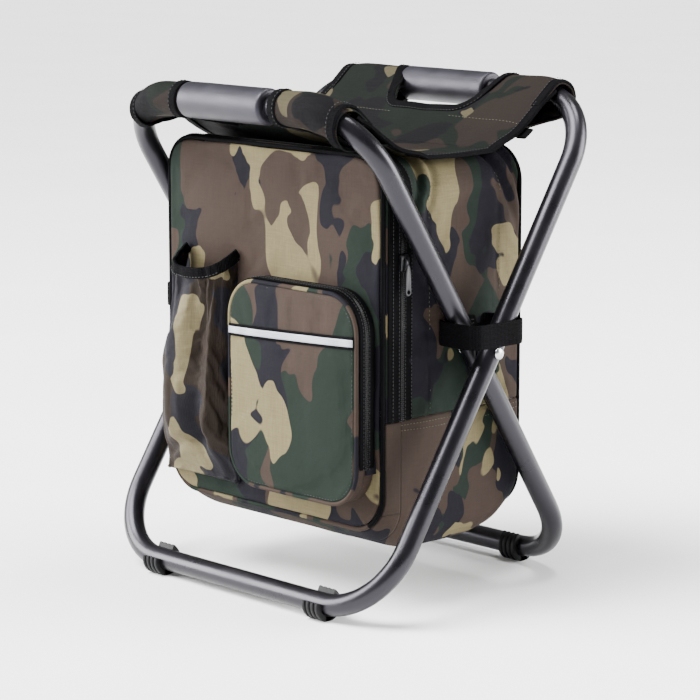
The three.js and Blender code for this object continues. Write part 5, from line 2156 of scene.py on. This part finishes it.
@dataclass
class BottlePocket:
    """The open pouch: slack cloth, gathered at its mouth by an elastic band."""

    back: float
    bottom: float = 0.082
    mouth: float = 0.283
    dip: float = 0.017
    depth: float = 0.035
    curve: float = 2 / 2.6
    band: float = 0.0095
    bottom_share: float = 0.3
    top_share: float = 0.70
    floor_share: float = 0.07
    filling: float = 0.055
    gather: float = 0.031
    flat: Pair = (0.175, 0.235)
    crumple: Crumple = Crumple(31.0, 0.0046, (34, 34, 11))

    def __post_init__(self) -> None:
        """Reads the pouch's place."""
        low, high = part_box("bottle_pocket")
        self.left, self.right = low.x, high.x

    def emptied(self, z: float) -> float:
        """Share of the way from the bottom to the mouth at a height."""
        return clamp((z - self.bottom) / (self.mouth - self.bottom))

    def across(self, z: float, place: float) -> float:
        """Place across at a height, for -1 at the left edge to 1 at the right one."""
        left = self.left + self.gather * self.emptied(z) ** 2
        return (left + self.right) / 2 + place * (self.right - left) / 2

    def reach(self, z: float) -> float:
        """How far the pouch stands from the panel at a height."""
        low = mix(self.bottom_share, 1.0, math.sin(math.pi / 2 * min((z - self.bottom) / self.filling, 1.0)))
        return self.depth * low * (1 - (1 - self.top_share) * self.emptied(z) ** 2)

    def folds(self, u: float, v: float, z: float) -> float:
        """The cloth's height above its smooth shape.

        Args:
            u: Share round the front.
            v: Share from the bottom to the mouth.
            z: The height in the room.

        Returns:
            Pleats under the band and over the bottom, a valley with its two ridges, a crease and dents.
        """
        low, high = 1 - ease(v, 0.0, 0.3), ease(v, 0.62, 1.0)
        pleats = 0.0013 * math.sin(u * math.tau * 9 + 1.3 * math.sin(u * 9)) * high ** 0.7
        pleats *= 1 - 0.7 * ease(v, 0.93, 0.97)
        pleats += 0.0012 * math.sin(u * math.tau * 5.5 + 0.6) * low
        lean = 0.60 + 0.06 * (v - 0.5)
        valley = -0.0125 * hump(u, lean, 0.065) * ease(v, 0.07, 0.3) * (1 - 0.75 * high)
        ridges = 0.0055 * hump(u, lean - 0.14, 0.06) + 0.0040 * hump(u, lean + 0.15, 0.06)
        ridges *= ease(v, 0.1, 0.35) * (1 - high)
        crease = -0.0042 * hump(v + 0.05 * math.sin(u * 7), 0.2, 0.035) * hump(u, 0.4, 0.3)
        dents = self.crumple.at(Vector((u * 0.11, 0, z))) * (1 - 0.6 * high)
        return pleats + valley + ridges + crease + dents

    def skin(self, u: float, v: float, out: float = 0.0) -> Vector:
        """A point of the pouch.

        Args:
            u: Share round the front, from the left side to the right.
            v: Share from the bottom to the mouth.
            out: Height above the cloth.

        Returns:
            The point.
        """
        turn, floor = math.pi * (1 - u), self.floor_share
        along = math.sin(turn) ** self.curve
        rim = self.mouth - self.dip * along
        z = mix(self.bottom, rim - 0.001, max(v - floor, 0.0) / (1 - floor))
        across = math.copysign(abs(math.cos(turn)) ** self.curve, math.cos(turn))
        swell = self.folds(u, v, z) * min(along * 1.6, 1.0)
        closing = 1 - min(v / floor, 1.0)
        deep = (self.reach(z) * along + swell) * math.sqrt(max(1 - closing ** 2, 0.0))
        side = Vector((across * 0.4, -along, 0)).normalized() * out
        return Vector((self.across(z, across), self.back - max(deep, 0.0002), z)) + side

    def build(self) -> None:
        """Makes the pouch, its band and the band's stitches."""
        core = Vector(((self.left + self.right) / 2, self.back + 0.02, 0.18))
        piece = Form().sheet(96, 88, lambda u, v: self.skin(u, v * 0.985)).piece(
            "bottle_pouch", BOTTLE_PRINT, FLAP, "bottle_pocket", wall=0.0013, levels=1, core=core,
            drape=Drape(0.08, 0.15, 0.010, 0.12, 18))
        height, rounds = (self.mouth - self.bottom) * 1.02, spread(0, 1, 120)
        middle, sewn = 1 - self.band / 2 / height, 1 - 0.0082 / height
        rail = Rail.over(self.skin, [(u, middle) for u in rounds], 0.0002)
        Form().sweep(rail, Section(self.band, 0.0026, 5.0, 16)).piece(
            "bottle_band", ELASTIC, FLAP, "bottle_pocket_band")
        seam = Rail([self.skin(u, sewn, 0.0018) for u in rounds], rail.outward)
        Form().stitches(seam, 0.003).piece("bottle_band_stitches", DARK_THREAD, FLAP)


@dataclass(frozen=True)
class LegStrap:
    """An elastic loop from the bag's side round both legs."""

    side: Side
    front: float
    near: float
    far: float = 0.17520
    rear: float = 0.030
    low: float = 0.21464
    height: float = 0.020
    thickness: float = 0.002
    round_by: float = 0.009
    foot: float = 0.014

    def path(self) -> list[Pair]:
        """The loop's line.

        Returns:
            Its (outward, y) points.
        """
        near, far, turn = self.near + 0.0013, self.far - self.thickness / 2, self.round_by
        front, rear = turn - self.front, self.rear - turn
        line = [(near, front + self.foot)]
        for u, v, start in ((near + turn, front, 180), (far - turn, front, 270), (far - turn, rear, 0),
                            (near + turn, rear, 90)):
            line += quarter(u, v, turn, start, 8)
        return line + [(near, rear - self.foot)]

    def build(self) -> None:
        """Makes the strap and the stitches of its ends."""
        middle, sign = self.low + self.height / 2, self.side.value
        flat = Rail([Vector((sign * u, v, middle)) for u, v in self.path()], UP).even(0.0025).points
        ends = zip(flat[:1] + flat[:-1], flat[1:] + flat[-1:])
        ways = [(after - before).cross(UP).normalized() * sign for before, after in ends]
        Form().sweep(Rail(flat, ways), Section(self.height, self.thickness, 6.0, 20)).piece(
            f"leg_strap_loop_{self.side.word}", ELASTIC, BAG, f"leg_strap_{self.side.word}")
        form, inset = Form(), self.round_by + self.foot - 0.003
        for y in (inset - self.front, self.rear - inset):
            for z in spread(middle - 0.006, middle + 0.006, 4):
                line = [Vector((sign * (self.near + 0.0025), y + end * 0.0022, z)) for end in (-1, 1)]
                form.stitches(Rail(line, Vector((sign, 0, 0))), 0.0022)
        form.piece(f"leg_strap_tacks_{self.side.word}", DARK_THREAD, BAG)


@dataclass(frozen=True)
class ShoulderStrap:
    """One strap on the back: an anchor, a pad, a buckle and a webbing tail."""

    side: Side
    back: float
    centre: float = 0.062
    bottom: float = 0.112
    top: float = 0.33797
    pad_bottom: float = 0.168
    anchor: float = 0.026
    buckle: float = 0.020
    bow: float = 0.012
    pad_width: float = 0.052
    pad_thickness: float = 0.009
    web: Section = Section(0.025, 0.0018, 6.0, 16)
    buckle_side: Pair = (0.0042, 0.005)
    buckle_reach: float = 0.0143
    buckle_bar: Pair = (0.0290, 0.0044)
    buckle_bars: tuple[Pair, ...] = ((-0.0082, 0.0036), (0.0, 0.0034), (0.0082, 0.0036))
    buckle_round: float = 0.0012

    def line(self, start: float, end: float, thickness: float, aside: float = 0.0) -> Rail:
        """The strap's middle line between two heights.

        Args:
            start: Its lower end.
            end: Its upper end.
            thickness: What lies on the back.
            aside: How far it is moved across.

        Returns:
            The rail.
        """
        x, whole = self.side.value * self.centre + aside, self.top - self.bottom
        bows = [(z, self.bow * math.sin(math.pi * (z - self.bottom) / whole)) for z in spread(start, end, 48)]
        return Rail([Vector((x, self.back + bow + thickness / 2, z)) for z, bow in bows], BACKWARD)

    def build(self) -> None:
        """Makes the four parts of the strap and their trim."""
        word, thick = self.side.word, self.pad_thickness
        pad_top, buckle_top = self.top - self.anchor, self.pad_bottom - GAP
        buckle_bottom = buckle_top - self.buckle
        soft = Section(self.pad_width - 0.002, thick - 0.0014, 3.0, 36)
        Form().sweep(self.line(self.pad_bottom, pad_top, thick), soft,
                     lambda s: min(0.86 + 1.6 * min(s, 1 - s), 1.0)).piece(
            f"shoulder_cushion_{word}", BACK_PRINT, BAG, f"shoulder_pad_{word}", fill=0.5)
        form = Form()
        for sign in (-1, 1):
            edge = self.line(self.pad_bottom, pad_top, thick, sign * (self.pad_width / 2 - 0.0016))
            form.sweep(edge, Section(0.0032, 0.0058, 3.0, 14))
        form.sweep(self.line(self.pad_bottom + 0.004, pad_top - 0.002, 2 * thick), self.web)
        form.piece(f"shoulder_trim_{word}", BINDING, BAG)
        for name, start, end in (("anchor", pad_top + GAP, self.top),
                                 ("web", self.bottom, buckle_bottom - GAP)):
            Form().sweep(self.line(start, end, self.web.height), self.web).piece(
                f"shoulder_{name}_tape_{word}", BINDING, BAG, f"shoulder_{name}_{word}")
        at = Matrix.Translation(self.line(buckle_bottom, buckle_top, 0.005).points[24])
        form = Form()
        side = (*self.buckle_side, self.buckle)
        for x in (-self.buckle_reach, self.buckle_reach):
            form.block(side, at @ Matrix.Translation((x, 0, 0)), self.buckle_round)
        for z, height in self.buckle_bars:
            form.block((*self.buckle_bar, height), at @ Matrix.Translation((0, 0, z)), self.buckle_round)
        form.piece(f"ladder_buckle_{word}", BUCKLE, BAG, f"strap_buckle_{word}")


LAMPS = (("key", (-2.1, -1.9, 1.1), 1.7, 230), ("rim", (2.0, 2.1, 1.1), 1.9, 210),
         ("top", (0.2, 0.5, 2.7), 0.7, 45))


@dataclass(frozen=True)
class Studio:
    """Camera, lights and floor."""

    place: Triple = (1.5986, -1.5434, 0.5903)
    azimuth: float = 45.98
    elevation: float = 10.22
    lens: float = 137.44
    aim: Triple = (0, 0, 0.22)
    sunlit_from: Triple = (-0.7, -1.3, 2.4)

    def build(self) -> None:
        """Sets up the photograph's view and a soft white studio."""
        self.camera()
        self.floor()
        for name, place, size, watts in LAMPS:
            lamp = bpy.data.lights.new(name, "AREA")
            lamp.size, lamp.energy = size, watts
            self.stand(name, lamp, place, Vector(self.aim) - Vector(place))
        sun = bpy.data.lights.new("sun", "SUN")
        sun.angle, sun.energy = math.radians(36.0), 9.5
        self.stand("sun", sun, (0, 0, 0), -Vector(self.sunlit_from))
        world = bpy.data.worlds.new("studio")
        world.use_nodes = True
        inputs = world.node_tree.nodes["Background"].inputs
        inputs["Color"].default_value, inputs["Strength"].default_value = (1, 1, 1, 1), 0.28
        bpy.context.scene.world = world

    def stand(self, name: str, data: bpy.types.ID, place: Sequence[float], ahead: Vector) -> bpy.types.Object:
        """Puts a camera or a light at a place.

        Args:
            name: The object's name.
            data: The camera or light.
            place: Where it stands.
            ahead: Where it looks.

        Returns:
            The object.
        """
        made = bpy.data.objects.new(name, data)
        bpy.context.scene.collection.objects.link(made)
        made.matrix_world = Matrix.Translation(place) @ ahead.to_track_quat("-Z", "Y").to_matrix().to_4x4()
        return made

    def camera(self) -> None:
        """The camera at the photograph's angle."""
        data = bpy.data.cameras.new("camera")
        data.sensor_width, data.lens = 36, self.lens
        turn, lift = math.radians(self.azimuth), math.radians(self.elevation)
        ahead = Vector((-math.sin(turn) * math.cos(lift), math.cos(turn) * math.cos(lift), -math.sin(lift)))
        bpy.context.scene.camera = self.stand("camera", data, self.place, ahead)

    def floor(self) -> None:
        """A wide pale floor."""
        mesh = bpy.data.meshes.new("floor")
        bm = bmesh.new()
        bmesh.ops.create_grid(bm, x_segments=2, y_segments=2, size=60)
        bm.to_mesh(mesh)
        bm.free()
        floor = bpy.data.objects.new("floor", mesh)
        bpy.context.scene.collection.objects.link(floor)
        graph = Graph("floor_paint")
        shade = graph.span(graph.grain(3.0))
        graph.dress(graph.blend(shade, linear("f6f6f6"), linear("fafafa")), 0.85, Specular_IOR_Level=0.1)
        mesh.materials.append(graph.material)


def main() -> None:
    """Builds every sub-assembly in order."""
    logging.basicConfig(level=logging.INFO, format="%(name)s %(message)s")
    shape = BagShape.from_frame()
    inner = TubeFrame(INNER, INNER, 0.1425, math.radians(32.67))
    outer = TubeFrame(OUTER, OUTER, 0.163, math.radians(-32.67))
    Legs(inner, outer).build()
    for side in Side:
        Foot(outer, "front", side, 0.064).build()
        Foot(inner, "rear", side, 0.0635).build()
    Grip("grip_front", inner, -0.0075).build()
    Grip("grip_rear", outer, -0.004).build()
    seat = Seat(inner, outer)
    for (side, half), cut in CUTS.items():
        Sleeve(seat, side, cut, f"sleeve_{'front' if side == FRONT else 'rear'}_{half.word}").build()
    bag = Bag(shape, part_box("bag_hoop")[0].y - HALF_GAP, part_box("bag_back_panel")[0].y)
    bag.build()
    Flap(bag).build()
    MainZip(bag).build()
    Sling(seat).build()
    panel_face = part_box("front_panel")[0].y - GAP
    FrontPocket(panel_face).build()
    BottlePocket(panel_face).build()
    LegStrap(Side.RIGHT, 0.030, shape.half_width).build()
    LegStrap(Side.LEFT, 0.056, shape.half_width).build()
    for side in Side:
        ShoulderStrap(side, shape.rear + 0.0033).build()
    Studio().build()


if __name__ == "__main__":
    main()
